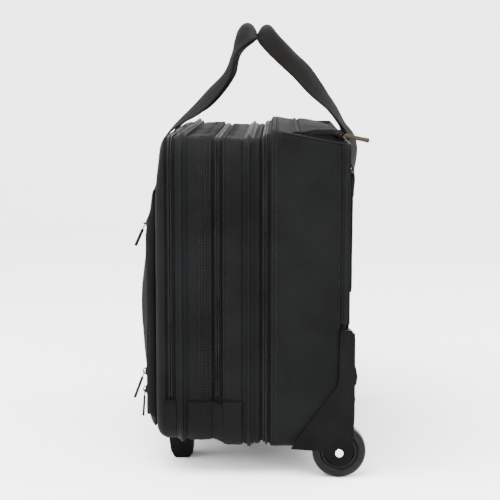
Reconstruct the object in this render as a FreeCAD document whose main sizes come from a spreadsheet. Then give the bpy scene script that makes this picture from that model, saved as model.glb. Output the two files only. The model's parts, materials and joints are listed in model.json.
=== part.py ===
import FreeCAD, Part
import math
import os
from types import SimpleNamespace

import Sketcher
from FreeCAD import Placement, Rotation, Vector

# Rolling laptop case, an upright wheeled briefcase.  Millimetres, +Z up.
# X runs across the width, -Y is the front, +Y the back where the trolley and the wheels are.
# The origin is on the floor, under the middle of the closed case.

os.makedirs("parts", exist_ok=True)
doc = FreeCAD.newDocument("rolling_laptop_case")
sheet = doc.addObject("Spreadsheet::Sheet", "dims")

# ------------------------------------------------------------------ driving dimensions

DIMENSIONS = [
    # the three soft sections, as rounded rectangles seen from the front
    ("half_width", 208, "half the width of the gussets"),
    ("case_top", 369.5, "top of the rear section at its front edge"),
    ("back_top", 355.5, "top of the rear section at the back"),
    ("front_top", 363, "top of the front section"),
    ("mid_top", 360, "top of the middle section"),
    ("rear_low", 29.5, "underside of the rear section"),
    ("mid_low", 32, "underside of the middle section"),
    ("front_low", 37, "underside of the front section"),
    ("corner_radius", 28, "radius of the section corners"),
    ("wall", 3, "padded wall of the gussets"),
    ("piping_radius", 2, "radius of the piping cord"),
    ("zip_recess", 3, "how far a zip tape lies inside the gussets"),
    ("tape_wall", 1.6, "thickness of a zip tape with its coil"),
    ("tape_width", 4.7, "width of one zip tape"),
    ("zip_gap", 0.3, "half the gap between two zipped tapes"),
    ("fit_gap", 0.1, "gap between pieces that are sewn together"),
    ("rest_gap", 0.3, "gap between pieces that rest on each other"),
    # depths of the section lines
    ("lid_front", -98, "face of the organizer lid"),
    ("lid_top", 350, "top of the organizer lid"),
    ("organizer_zip_y", -82.5, "organizer zip"),
    ("front_piping_y", -71, "piping of the front section"),
    ("divider_y", -44, "front face of the divider behind the organizer"),
    ("laptop_zip_y", -33, "laptop compartment zip"),
    ("laptop_pad_y", -6, "front face of the pad behind the laptop"),
    ("mid_piping_y", 0, "piping of the middle section"),
    ("main_zip_y", 17, "main compartment zip"),
    ("frame_board_y", 58, "board between main compartment and handle well"),
    ("back_y", 98, "front face of the back panel"),
    ("back_thickness", 5, "back panel"),
    # front pocket and lid
    ("pocket_half_width", 186, "front pocket"),
    ("pocket_low", 44, "foot of the front pocket"),
    ("pocket_top", 312, "top of the front pocket"),
    ("pocket_depth", 11, "how far the front pocket stands out"),
    ("pocket_wall", 2.5, "cloth of the front pocket"),
    ("quick_zip_z", 266, "level zip across the front pocket"),
    ("pocket_zip_x", 172, "upright zip beside the front pocket"),
    ("strip_half", 4.2, "half the width of a surface zip"),
    ("strip_height", 1.2, "height of a surface zip"),
    # back
    ("back_pocket_half_width", 150, "sleeve on the back"),
    ("back_pocket_low", 190, "foot of the sleeve"),
    ("back_pocket_top", 318, "mouth of the sleeve"),
    ("back_pocket_gap", 5.5, "clear depth of the sleeve"),
    ("kick_plate_top", 188.5, "moulded plate low on the back"),
    ("kick_plate_low", 38, "lower edge of the moulded plate"),
    ("kick_plate_thickness", 4.2, "moulded plate"),
    ("rail_x", 146, "skid rails, from the middle"),
    ("rail_width", 15, "skid rail"),
    ("heel_depth", 9, "how far the guard's heel stands behind the back"),
    ("heel_low", 66, "underside of the heel"),
    ("heel_height", 90, "heel of the guard"),
    # wheels and their guards
    ("wheel_radius", 28.6, "wheel"),
    ("wheel_y", 96, "wheel axis"),
    ("wheel_x", 196, "middle of the wheel's width"),
    ("wheel_width", 20, "wheel"),
    ("hub_radius", 19, "hub under the tyre"),
    ("bush_radius", 7, "bush in the hub"),
    ("axle_radius", 4, "axle"),
    ("axle_fit", 0.05, "running clearance on the axle"),
    ("axle_head_radius", 4.6, "domed axle head"),
    ("guard_outer_x", 208.3, "inside of the guard's outer plate"),
    ("guard_plate", 3.6, "guard's outer plate"),
    ("guard_inner_x", 180, "outside of the guard's inner cheek"),
    ("cheek_plate", 3, "guard's inner cheek"),
    ("guard_top", 161, "top of the guard"),
    ("lobe_radius", 14, "ear of the guard round the axle"),
    ("toe_reach", 51, "how far the guard's toe lies in front of the axle"),
    ("arch_clearance", 2.6, "gap between wheel and arch"),
    ("arch_wall", 2.4, "wheel arch"),
    ("well_x", 176.5, "inner side of the wheel wells"),
    ("well_top", 66, "top of the wheel wells"),
    ("well_front", 60, "front of the wheel wells"),
    # trolley
    ("tube_x", 38, "trolley tubes, from the middle"),
    ("tube_y", 82, "trolley tubes, depth"),
    ("outer_tube_radius", 9.5, "fixed tube"),
    ("middle_tube_radius", 8.35, "first moving tube"),
    ("inner_tube_radius", 7.15, "second moving tube"),
    ("tube_wall", 0.85, "tube wall"),
    ("tube_low", 35, "foot of the fixed tubes"),
    ("tube_top", 330, "top of the fixed tubes"),
    ("grip_low", 333, "underside of the trolley grip"),
    ("grip_top", 348, "top of the trolley grip"),
    ("grip_half_width", 48, "trolley grip"),
    ("grip_half_depth", 11, "trolley grip"),
    ("button_half_width", 13, "release button"),
    ("button_half_depth", 5, "release button"),
    ("button_rise", 1.6, "how far the button stands out"),
    ("button_slot_depth", 9, "slot under the button"),
    ("button_depth", 5, "how deep the button sits at rest"),
    ("slide_gap", 0.3, "clearance round sliding pieces"),
    # hatch over the trolley
    ("hatch_front", 56, "front edge of the hatch opening"),
    ("hatch_rear", 94, "rear edge of the hatch opening"),
    ("hatch_half_width", 180, "hatch opening"),
    ("flap_half_width", 189, "padded hatch flap"),
    ("flap_top", 368, "crown of the padded flap"),
    ("rim_width", 3.6, "zip rim round the flap"),
    ("rim_gap", 0.4, "gap between the flap and its rim"),
    ("rim_rear_width", 3, "zip tape behind the flap"),
    ("rim_rear_height", 4.5, "zip tape behind the flap"),
    # feet
    ("foot_inner_x", 98, "inner side of a foot"),
    ("foot_neck_inset", 4, "how far a foot's neck lies inside its sides"),
    ("foot_neck_front", -68.5, "front of the neck"),
    ("foot_neck_rear", -65.5, "rear of the neck"),
    ("foot_outer_x", 130, "outer side of a foot"),
    # carrying handles
    ("strap_inner", 55, "inner edge of a strap leg"),
    ("strap_outer", 93, "outer edge of a strap leg"),
    ("strap_half", 1.3, "half the thickness of the webbing, along Y and Z"),
    ("strap_corner", 46, "outer bend of the strap"),
    ("grip_roll_radius", 9.6, "folded grip at the top of a strap"),
    ("front_grip_y", -7, "folded grip of the front strap"),
    ("front_grip_z", 475, "folded grip of the front strap"),
    ("rear_grip_y", 18, "folded grip of the rear strap"),
    ("rear_grip_z", 472.5, "folded grip of the rear strap"),
    ("strap_window_top", 461, "underside of the strap's top bar"),
    ("strap_top", 486, "level above both grips"),
    # zip sliders and pulls
    ("slider_half", 4.2, "half the slider's side"),
    ("slider_plate", 1.3, "slider plate"),
    ("bridge_height", 4.4, "top of the slider's bridge"),
    ("bridge_half", 3.2, "half the bridge's length"),
    ("bridge_bar", 0.9, "thickness of the bridge"),
    ("bridge_half_width", 0.9, "half the bridge's width"),
    ("pull_axis", 2.5, "height of the pull's hinge over the surface"),
    ("pull_length", 34, "zip pull"),
    ("pull_half_width", 2.3, "zip pull"),
    ("pull_thickness", 1.2, "zip pull"),
    ("pull_bar", 0.55, "half the thickness of the pull's eye bar"),
    ("pull_eye", 5.4, "length of the pull's eye"),
]


class Size:
    """A length as a spreadsheet expression, together with its present value."""

    def __init__(self, text, value):
        self.text = text
        self.value = value

    def combined(self, sign, other, value):
        return Size("(%s %s %s)" % (self.text, sign, size(other).text), value)

    def __add__(self, other):
        return self.combined("+", other, self.value + size(other).value)

    def __sub__(self, other):
        return self.combined("-", other, self.value - size(other).value)

    def __mul__(self, other):
        return self.combined("*", other, self.value * size(other).value)

    def __truediv__(self, other):
        return self.combined("/", other, self.value / size(other).value)

    def __neg__(self):
        return size(-1) * self


def size(thing):
    if isinstance(thing, Size):
        return thing
    return Size("(%s)" % float(thing), float(thing))


def fill_sheet():
    for row, (name, value, meaning) in enumerate(DIMENSIONS, start=1):
        sheet.set("A%d" % row, name)
        sheet.set("B%d" % row, str(value))
        sheet.set("C%d" % row, meaning)
        sheet.setAlias("B%d" % row, name)
    doc.recompute()


fill_sheet()
dim = SimpleNamespace(**{name: Size("dims.%s" % name, value) for name, value, meaning in DIMENSIONS})
nodes = []

# ------------------------------------------------------------------ helpers


def keep(thing, label):
    thing.Label = label
    nodes.append(thing)
    return thing


def new_body(label, kept=True):
    body = doc.addObject("PartDesign::Body", label)
    return keep(body, label) if kept else body


def bind(thing, field, length):
    thing.setExpression(field, size(length).text)


def place(body, x, y, z):
    bind(body, ".Placement.Base.x", x)
    bind(body, ".Placement.Base.y", y)
    bind(body, ".Placement.Base.z", z)


def sketch_on(body, role, offset=0):
    """A sketch on one of the body's own planes, moved along the plane's normal.
    The front plane's normal is -Y, so there the offset is a depth and its sign turns."""
    sketch = body.newObject("Sketcher::SketchObject", body.Label + "_sketch")
    sketch.AttachmentSupport = [([f for f in body.Origin.OriginFeatures if f.Role == role][0], "")]
    sketch.MapMode = "FlatFace"
    along = -size(offset) if role == "XZ_Plane" else size(offset)
    bind(sketch, ".AttachmentOffset.Base.z", along)
    return sketch


def front_sketch(body, depth=0):
    return sketch_on(body, "XZ_Plane", depth)


def side_sketch(body, across=0):
    return sketch_on(body, "YZ_Plane", across)


def plan_sketch(body, height=0):
    return sketch_on(body, "XY_Plane", height)


def constrain(sketch, kind, *where, length=None):
    if length is None:
        return sketch.addConstraint(Sketcher.Constraint(kind, *where))
    number = sketch.addConstraint(Sketcher.Constraint(kind, *where, size(length).value))
    sketch.setExpression("Constraints[%d]" % number, size(length).text)
    return number


def polygon(sketch, corners):
    """A closed outline of straight lines, each corner held by its two coordinates."""
    points = [Vector(size(a).value, size(b).value, 0) for a, b in corners]
    first = sketch.GeometryCount
    for start, end in zip(points, points[1:] + points[:1]):
        sketch.addGeometry(Part.LineSegment(start, end), False)
    for index, (a, b) in enumerate(corners):
        line = first + index
        constrain(sketch, "Coincident", line, 2, first + (index + 1) % len(corners), 1)
        constrain(sketch, "DistanceX", -1, 1, line, 1, length=a)
        constrain(sketch, "DistanceY", -1, 1, line, 1, length=b)


def rectangle(sketch, left, right, low, high):
    polygon(sketch, [(left, low), (right, low), (right, high), (left, high)])


def circle(sketch, a, b, radius):
    centre = Vector(size(a).value, size(b).value, 0)
    number = sketch.addGeometry(Part.Circle(centre, Vector(0, 0, 1), size(radius).value), False)
    constrain(sketch, "DistanceX", -1, 1, number, 3, length=a)
    constrain(sketch, "DistanceY", -1, 1, number, 3, length=b)
    constrain(sketch, "Radius", number, length=radius)


def rounded(sketch, left, right, low, high, radius):
    """A rectangle with four equal round corners, anticlockwise from the bottom line."""
    x0, x1, z0, z1, r = [size(s).value for s in (left, right, low, high, radius)]
    first = sketch.GeometryCount
    lines = [((x0 + r, z0), (x1 - r, z0)), ((x1, z0 + r), (x1, z1 - r)),
             ((x1 - r, z1), (x0 + r, z1)), ((x0, z1 - r), (x0, z0 + r))]
    centres = [(x1 - r, z0 + r), (x1 - r, z1 - r), (x0 + r, z1 - r), (x0 + r, z0 + r)]
    for index, ((start, end), centre) in enumerate(zip(lines, centres)):
        sketch.addGeometry(Part.LineSegment(Vector(*start, 0), Vector(*end, 0)), False)
        full = Part.Circle(Vector(*centre, 0), Vector(0, 0, 1), r)
        turn = (index - 1) * math.pi / 2
        sketch.addGeometry(Part.ArcOfCircle(full, turn, turn + math.pi / 2), False)
    for step in range(8):
        constrain(sketch, "Tangent", first + step, 2, first + (step + 1) % 8, 1)
    for line in (0, 4):
        constrain(sketch, "Horizontal", first + line)
    for line in (2, 6):
        constrain(sketch, "Vertical", first + line)
    constrain(sketch, "DistanceY", -1, 1, first, 1, length=low)
    constrain(sketch, "DistanceY", -1, 1, first + 4, 1, length=high)
    constrain(sketch, "DistanceX", -1, 1, first + 2, 1, length=right)
    constrain(sketch, "DistanceX", -1, 1, first + 6, 1, length=left)
    for arc in (1, 3, 5, 7):
        constrain(sketch, "Radius", first + arc, length=radius)


def pad(body, sketch, length, both_ways=False, other_way=False):
    feature = body.newObject("PartDesign::Pad", body.Label + "_pad")
    feature.Profile = sketch
    feature.Midplane = both_ways
    feature.Reversed = other_way
    bind(feature, "Length", length)
    sketch.Visibility = False
    return feature


def cut(body, sketch, length=None, other_way=False):
    """A pocket: to a depth against the sketch's normal, or right through both ways."""
    feature = body.newObject("PartDesign::Pocket", body.Label + "_cut")
    feature.Profile = sketch
    if length is None:
        feature.Type = "ThroughAll"
        feature.Midplane = True
    else:
        feature.Reversed = other_way
        bind(feature, "Length", length)
    return feature


def soften(body, feature, radius, wanted):
    """Rounds those edges of the feature that the test picks out."""
    doc.recompute()
    edges = ["Edge%d" % n for n, edge in enumerate(feature.Shape.Edges, start=1) if wanted(edge)]
    fillet = body.newObject("PartDesign::Fillet", body.Label + "_fillet")
    fillet.Base = (feature, edges)
    bind(fillet, "Radius", radius)
    return fillet


def lies_at(axis, level):
    """True for edges that lie wholly in the plane at that level across the axis."""
    def test(edge):
        box = edge.BoundBox
        low = (box.XMin, box.YMin, box.ZMin)[axis]
        high = (box.XMax, box.YMax, box.ZMax)[axis]
        return abs(low - size(level).value) < 0.01 and abs(high - size(level).value) < 0.01
    return test


def plate(label, front, rear, left, right, low, high, radius):
    """A flat slab facing front, with round corners."""
    body = new_body(label)
    sketch = front_sketch(body, rear)
    rounded(sketch, left, right, low, high, radius)
    return body, pad(body, sketch, size(rear) - front)


def ring(label, front, rear, half_width, low, high, radius, wall):
    """A band of one width that runs right round the case."""
    body = new_body(label)
    sketch = front_sketch(body, rear)
    rounded(sketch, -half_width, half_width, low, high, radius)
    rounded(sketch, -(half_width - wall), half_width - wall, low + wall, high - wall, radius - wall)
    pad(body, sketch, size(rear) - front)
    return body


def piping(label, depth, half_width, low, high):
    """The round cord sewn round a section's edge, just outside its gusset."""
    body = new_body(label)
    stand_off = dim.piping_radius + dim.fit_gap / 2
    path = front_sketch(body, depth)
    rounded(path, -(half_width + stand_off), half_width + stand_off,
            low - stand_off, high + stand_off, dim.corner_radius + stand_off)
    section = side_sketch(body)
    circle(section, depth, low - stand_off, dim.piping_radius)
    pipe = body.newObject("PartDesign::AdditivePipe", label + "_pipe")
    pipe.Profile = section
    pipe.Spine = (path, [])
    return body


def zip_tape(label, front, low, high):
    """One side of a zip with its half of the coil, recessed between two gussets."""
    recess = dim.zip_recess
    return ring(label, front, front + dim.tape_width, dim.half_width - recess,
                low + recess, high - recess, dim.corner_radius - recess, dim.tape_wall)


def cut_wheel_wells(body, top):
    """Clears both lower rear corners, up to a height, for the wheels and their guards."""
    for side in (-1, 1):
        sketch = plan_sketch(body, top)
        near, far = dim.well_x * side, dim.well_x * side + 60 * side
        rectangle(sketch, near, far, dim.well_front, dim.back_y + 40)
        cut(body, sketch, top)


# ------------------------------------------------------------------ rear section

back_rear = dim.back_y + dim.back_thickness


def make_rear_gusset():
    """The deepest section's walls, whose top slopes down to the back."""
    body = new_body("rear_gusset")
    front = dim.main_zip_y + dim.zip_gap + dim.tape_width + dim.fit_gap
    for kind, inset in (("PartDesign::AdditiveLoft", size(0)), ("PartDesign::SubtractiveLoft", dim.wall)):
        sections = []
        for depth, top in ((front, dim.case_top), (dim.back_y, dim.back_top)):
            sketch = front_sketch(body, depth)
            half = dim.half_width - inset
            rounded(sketch, -half, half, dim.rear_low + inset, top - inset, dim.corner_radius - inset)
            sections.append(sketch)
        loft = body.newObject(kind, "rear_gusset_loft")
        loft.Profile = sections[0]
        loft.Sections = [sections[1]]
        loft.Ruled = True
    opening = plan_sketch(body, dim.case_top + 5)
    rectangle(opening, -dim.hatch_half_width, dim.hatch_half_width, dim.hatch_front, dim.hatch_rear)
    cut(body, opening, 40)
    cut_wheel_wells(body, dim.well_top)


def make_back_panel():
    body, slab = plate("back_panel", dim.back_y + dim.fit_gap, back_rear, -dim.half_width, dim.half_width,
                       dim.rear_low, dim.back_top, dim.corner_radius)
    cut_wheel_wells(body, dim.well_top)


def make_frame_board():
    """Stiff board that parts the main compartment from the handle well."""
    half = dim.half_width - dim.wall - 3
    plate("frame_board", dim.frame_board_y, dim.frame_board_y + 1.8, -half, half,
          dim.rear_low + dim.wall + 0.3, dim.case_top - dim.wall - 9, dim.corner_radius - dim.wall)


def make_rear_piping():
    """Runs over the top and down both sides as far as the guards, and along the foot."""
    body = piping("rear_piping", dim.back_y + 2.9, dim.half_width, dim.rear_low, dim.back_top)
    cut_wheel_wells(body, dim.guard_top + 2)


def make_back_pocket():
    """A flat sleeve on the back, open at its top edge."""
    front = back_rear + dim.fit_gap
    rear = front + dim.back_pocket_gap + dim.pocket_wall
    half = dim.back_pocket_half_width
    body, slab = plate("back_pocket", front, rear, -half, half, dim.back_pocket_low, dim.back_pocket_top, 8)
    space = front_sketch(body, front)
    inner = half - 4
    rectangle(space, -inner, inner, dim.back_pocket_low + 4, dim.back_pocket_top + 5)
    cut(body, space, dim.back_pocket_gap)


def make_kick_plate():
    """Ribbed plate that takes the wear low on the back."""
    front = back_rear + dim.fit_gap
    half = dim.half_width - 38
    body, slab = plate("kick_plate", front, front + dim.kick_plate_thickness, -half, half,
                       dim.kick_plate_low, dim.kick_plate_top, 14)
    soften(body, slab, 2, lies_at(1, front + dim.kick_plate_thickness))


# side view of a skid rail, as (depth behind its foot, height)
RAIL_PROFILE = [(0, 44), (3, 52), (7.5, 66), (8.5, 73), (5.5, 84), (9.5, 90), (10.6, 98), (9, 107), (5, 114), (0, 124)]


def make_skid_rails():
    """Two raised runners with a round bump, for pulling the case up a kerb."""
    body = new_body("skid_rails")
    foot = back_rear + dim.fit_gap * 2 + dim.kick_plate_thickness
    for side in (-1, 1):
        sketch = side_sketch(body, dim.rail_x * side)
        polygon(sketch, [(foot + depth, height) for depth, height in RAIL_PROFILE])
        pad(body, sketch, dim.rail_width, both_ways=True)


def make_wheel_guard(label, side):
    """Corner guard: outer plate with an ear round the axle, wheel arch, inner cheek and heel."""
    body = new_body(label)
    outer = dim.guard_outer_x
    axis_y, axis_z = dim.wheel_y, dim.wheel_radius
    heel_rear = back_rear + dim.heel_depth
    plate_sketch = side_sketch(body, outer * side)
    toe = [(-dim.toe_reach, 4), (-dim.toe_reach + 22, 2.4), (-dim.lobe_radius, 2.4), (-dim.lobe_radius, 0),
           (dim.lobe_radius, 0), (dim.lobe_radius, 6)]
    heel_edge = [(heel_rear, axis_z + 40), (heel_rear, dim.guard_top - 9), (heel_rear - 4, dim.guard_top - 1)]
    front_edge = [(axis_y + 1, dim.guard_top), (axis_y, dim.guard_top - 6), (axis_y - 1, 106), (axis_y - 3.5, 99),
                  (axis_y - 18, 80), (axis_y - 34, 59)]
    polygon(plate_sketch, [(axis_y + depth, axis_z + height) for depth, height in toe] + heel_edge + front_edge)
    pad(body, plate_sketch, dim.guard_plate, other_way=side < 0)
    ear = side_sketch(body, outer * side)
    circle(ear, axis_y, axis_z, dim.lobe_radius)
    pad(body, ear, dim.guard_plate, other_way=side < 0)
    arch_inner = dim.wheel_radius + dim.arch_clearance
    arch = side_sketch(body, dim.guard_inner_x * side)
    circle(arch, axis_y, axis_z, arch_inner + dim.arch_wall)
    circle(arch, axis_y, axis_z, arch_inner)
    pad(body, arch, outer - dim.guard_inner_x, other_way=side < 0)
    for rear_edge, low, high in ((axis_y - 60, -10, 32), (axis_y + 12, -10, 160)):
        trim = side_sketch(body, dim.guard_inner_x * side)
        far_edge = axis_y + 60
        rectangle(trim, rear_edge, far_edge, low, high)
        cut(body, trim, outer - dim.guard_inner_x, other_way=side > 0)
    cheek = side_sketch(body, dim.guard_inner_x * side)
    circle(cheek, axis_y, axis_z, dim.lobe_radius)
    pad(body, cheek, dim.cheek_plate, other_way=side < 0)
    web = side_sketch(body, dim.guard_inner_x * side)
    rectangle(web, dim.well_front + 0.5, axis_y + 11.5, axis_z + 1, dim.well_top - 0.4)
    pad(body, web, dim.cheek_plate, other_way=side < 0)
    heel = plan_sketch(body, dim.heel_low)
    near, far = (dim.well_x - 2) * side, outer * side
    inner_edge = back_rear + dim.heel_depth - 4
    contact = back_rear + dim.rest_gap
    polygon(heel, [(near, contact), (far, contact), (far, heel_rear), (near, inner_edge)])
    pad(body, heel, dim.heel_height)
    bore = side_sketch(body)
    circle(bore, axis_y, axis_z, dim.axle_radius)
    cut(body, bore)


def make_axle(label, side):
    """A pin through the guard's two ears, with a domed head outside."""
    body = new_body(label)
    shaft = side_sketch(body, dim.guard_inner_x * side)
    circle(shaft, dim.wheel_y, dim.wheel_radius, dim.axle_radius)
    pad(body, shaft, dim.guard_outer_x + dim.guard_plate - dim.guard_inner_x, other_way=side < 0)
    head = side_sketch(body, (dim.guard_outer_x + dim.guard_plate) * side)
    circle(head, dim.wheel_y, dim.wheel_radius, dim.axle_head_radius)
    crown = pad(body, head, 1.8, other_way=side < 0)
    outer = (dim.guard_outer_x + dim.guard_plate) * side + 1.8 * side
    soften(body, crown, 1.5, lies_at(0, outer))


def revolved(label, outline, side):
    """A round piece about the wheel axis; the outline holds (along axis, radius) corners."""
    body = new_body(label)
    sketch = plan_sketch(body)
    polygon(sketch, outline)
    turned = body.newObject("PartDesign::Revolution", label + "_turned")
    turned.Profile = sketch
    turned.ReferenceAxis = ([f for f in body.Origin.OriginFeatures if f.Role == "X_Axis"][0], [""])
    turned.Angle = 360
    place(body, dim.wheel_x * side, dim.wheel_y, dim.wheel_radius)
    return body


def make_wheel(name, side):
    half = dim.wheel_width / 2
    bead = dim.hub_radius + 0.02
    crown = dim.wheel_radius
    revolved("tyre_" + name, [
        (-half + 1, bead), (half - 1, bead), (half, bead + 2), (half, crown - 3.5), (half - 1.6, crown - 1),
        (half - 4, crown), (-half + 4, crown), (-half + 1.6, crown - 1), (-half, crown - 3.5), (-half, bead + 2)],
        side)
    bore = dim.bush_radius
    revolved("hub_" + name, [
        (-half + 1, bore), (half - 1, bore), (half - 1, bore + 3), (3, bore + 3.5), (3, dim.hub_radius - 3),
        (half - 2, dim.hub_radius - 2.5), (half - 2, dim.hub_radius), (-half + 2, dim.hub_radius),
        (-half + 2, dim.hub_radius - 2.5), (-3, dim.hub_radius - 3), (-3, bore + 3.5), (-half + 1, bore + 3)],
        side)
    shaft = dim.axle_radius + dim.axle_fit
    revolved("bush_" + name, [(-half - 0.5, shaft), (half + 0.5, shaft), (half + 0.5, bore - 0.02),
                              (-half - 0.5, bore - 0.02)], side)


# ------------------------------------------------------------------ trolley

def tube_pair(label, radius, low, high):
    body = new_body(label)
    sketch = plan_sketch(body, low)
    for side in (-1, 1):
        circle(sketch, dim.tube_x * side, dim.tube_y, radius)
        circle(sketch, dim.tube_x * side, dim.tube_y, radius - dim.tube_wall)
    pad(body, sketch, size(high) - low)


def make_tube_holder(label, low, high, hole_low):
    """A block across both fixed tubes, at their foot or their top."""
    body = new_body(label)
    sketch = plan_sketch(body, low)
    reach = dim.tube_x + dim.outer_tube_radius + 5
    rounded(sketch, -reach, reach, dim.tube_y - 12.5, dim.tube_y + 12.5, 8)
    pad(body, sketch, size(high) - low)
    holes = plan_sketch(body, high)
    for side in (-1, 1):
        circle(holes, dim.tube_x * side, dim.tube_y, dim.outer_tube_radius)
    cut(body, holes, size(high) - hole_low)


def make_trolley_grip():
    body = new_body("trolley_grip")
    sketch = plan_sketch(body, dim.grip_low)
    half, depth = dim.grip_half_width, dim.grip_half_depth
    rounded(sketch, -half, half, dim.tube_y - depth, dim.tube_y + depth, 10)
    block = pad(body, sketch, dim.grip_top - dim.grip_low)
    eased = soften(body, block, 3, lies_at(2, dim.grip_top))
    soften(body, eased, 2, lies_at(2, dim.grip_low))
    sockets = plan_sketch(body, dim.grip_low)
    for side in (-1, 1):
        circle(sockets, dim.tube_x * side, dim.tube_y, dim.inner_tube_radius)
    cut(body, sockets, 9, other_way=True)
    slot = plan_sketch(body, dim.grip_top)
    gap = dim.slide_gap
    rounded(slot, -(dim.button_half_width + gap), dim.button_half_width + gap,
            dim.tube_y - dim.button_half_depth - gap, dim.tube_y + dim.button_half_depth + gap, gap + 4)
    cut(body, slot, dim.button_slot_depth)


def make_trolley_button():
    body = new_body("trolley_button")
    sketch = plan_sketch(body, dim.grip_top - dim.button_depth)
    rounded(sketch, -dim.button_half_width, dim.button_half_width,
            dim.tube_y - dim.button_half_depth, dim.tube_y + dim.button_half_depth, 4)
    block = pad(body, sketch, dim.button_depth + dim.button_rise)
    soften(body, block, 1, lies_at(2, dim.grip_top + dim.button_rise))


def slope_at(depth):
    """Height of the rear section's sloping top at a depth."""
    fall = (dim.case_top - dim.back_top) / (dim.back_y - dim.main_zip_y - 5.1)
    return dim.case_top - fall * (size(depth) - dim.main_zip_y - 5.1)


def make_hatch_flap():
    """Padded flap over the stowed trolley, hinged along its front seam."""
    body = new_body("hatch_flap")
    front, rear = dim.hatch_front - 2, dim.hatch_rear + 1.2
    sketch = side_sketch(body)
    front_foot, rear_foot = slope_at(front) + dim.rest_gap, slope_at(rear) + dim.rest_gap
    polygon(sketch, [(front, front_foot), (front, slope_at(front) + 5), (front + 6, dim.flap_top),
                     (rear - 8, dim.flap_top), (rear - 3, dim.flap_top - 3), (rear, dim.flap_top - 9),
                     (rear, rear_foot)])
    pad(body, sketch, dim.flap_half_width * 2, both_ways=True)


def make_hatch_zip():
    """The zipped rim round the flap: both ends and the rear."""
    body = new_body("hatch_zip")
    front, rear = dim.hatch_front - 2, dim.hatch_rear + 1.6
    crown = dim.flap_top + 1
    back = rear + dim.rim_rear_width
    for side in (-1, 1):
        sketch = side_sketch(body, (dim.flap_half_width + dim.rim_gap) * side)
        polygon(sketch, [(front, slope_at(front) + dim.rest_gap), (front + 4, crown), (rear + 1, crown),
                         (back, crown - 3), (back, slope_at(rear) + dim.rest_gap)])
        pad(body, sketch, dim.rim_width, other_way=side < 0)
    strip = plan_sketch(body, slope_at(rear) + dim.rest_gap * 2)
    half = dim.flap_half_width + dim.rim_gap + dim.rim_width
    rectangle(strip, -half, half, rear, back)
    pad(body, strip, dim.rim_rear_height)


# ------------------------------------------------------------------ middle and front sections

def make_middle_section():
    zip_low, zip_high = dim.mid_low, dim.mid_top
    front = dim.laptop_zip_y + dim.zip_gap
    zip_tape("laptop_zip_rear_tape", front, zip_low, zip_high)
    gusset_front = front + dim.tape_width + dim.fit_gap
    gusset_rear = dim.main_zip_y - dim.zip_gap - dim.tape_width - dim.fit_gap
    ring("mid_gusset", gusset_front, gusset_rear, dim.half_width, dim.mid_low, dim.mid_top,
         dim.corner_radius, dim.wall)
    piping("mid_piping", dim.mid_piping_y, dim.half_width, dim.mid_low, dim.mid_top)
    half = dim.half_width - dim.wall - 0.3
    plate("laptop_back_pad", dim.laptop_pad_y, dim.laptop_pad_y + 7, -half, half,
          dim.mid_low + dim.wall + 0.3, dim.mid_top - dim.wall - 0.3, dim.corner_radius - dim.wall)
    zip_tape("main_zip_front_tape", gusset_rear + dim.fit_gap, zip_low, zip_high)


def make_front_section():
    front = dim.organizer_zip_y + dim.zip_gap
    zip_tape("organizer_zip_rear_tape", front, dim.front_low, dim.front_top)
    gusset_front = front + dim.tape_width + dim.fit_gap
    gusset_rear = dim.laptop_zip_y - dim.zip_gap - dim.tape_width - dim.fit_gap
    ring("front_gusset", gusset_front, gusset_rear, dim.half_width, dim.front_low, dim.front_top,
         dim.corner_radius, dim.wall)
    piping("front_piping", dim.front_piping_y, dim.half_width, dim.front_low, dim.front_top)
    half = dim.half_width - dim.wall - 0.3
    plate("organizer_divider", dim.divider_y, dim.divider_y + 5, -half, half,
          dim.front_low + dim.wall + 0.3, dim.front_top - dim.wall - 0.3, dim.corner_radius - dim.wall)
    zip_tape("laptop_zip_front_tape", gusset_rear + dim.fit_gap, dim.front_low, dim.front_top)


# side view of a foot under its neck, as (depth, height); its top meets the front section
FOOT_PROFILE = [(-88.5, 8), (-84, 0), (-68, 0), (-64, 6)]
FOOT_TOP = (-92, -63)


def make_front_feet():
    """Two moulded feet that level the case with its wheels."""
    body = new_body("front_feet")
    for side in (-1, 1):
        sketch = side_sketch(body, (dim.foot_inner_x + dim.foot_outer_x) / 2 * side)
        top = dim.front_low - dim.piping_radius * 2 - 0.4
        polygon(sketch, [(FOOT_TOP[0], top)] + FOOT_PROFILE + [(FOOT_TOP[1], top)])
        pad(body, sketch, dim.foot_outer_x - dim.foot_inner_x, both_ways=True)
        neck = plan_sketch(body, top)
        near, far = (dim.foot_inner_x + dim.foot_neck_inset) * side, (dim.foot_outer_x - dim.foot_neck_inset) * side
        rectangle(neck, near, far, dim.foot_neck_front, dim.foot_neck_rear)
        pad(body, neck, dim.front_low - 0.1 - top)


# ------------------------------------------------------------------ organizer lid

def make_organizer_lid():
    rear = dim.organizer_zip_y - dim.zip_gap
    zip_tape("organizer_zip_front_tape", rear - dim.tape_width, dim.front_low, dim.front_top)
    lid_rear = rear - dim.tape_width - dim.fit_gap
    body, slab = plate("front_panel", dim.lid_front, lid_rear, -(dim.half_width - 1), dim.half_width - 1,
                       dim.front_low + 1, dim.lid_top, dim.corner_radius)
    soften(body, slab, 9, lies_at(1, dim.lid_front))


def make_front_pocket():
    """A flat pocket on the lid, hollow behind its face; the lid closes its back."""
    rear = dim.lid_front - dim.fit_gap
    front = rear - dim.pocket_depth
    half = dim.pocket_half_width
    body, slab = plate("front_pocket", front, rear, -half, half, dim.pocket_low, dim.pocket_top, 22)
    eased = soften(body, slab, 6, lies_at(1, front))
    space = front_sketch(body, rear)
    inner = half - 8
    rounded(space, -inner, inner, dim.pocket_low + 8, dim.pocket_top - 8, 14)
    cut(body, space, dim.pocket_depth - dim.pocket_wall, other_way=True)


pocket_face = dim.lid_front - dim.fit_gap - dim.pocket_depth


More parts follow.
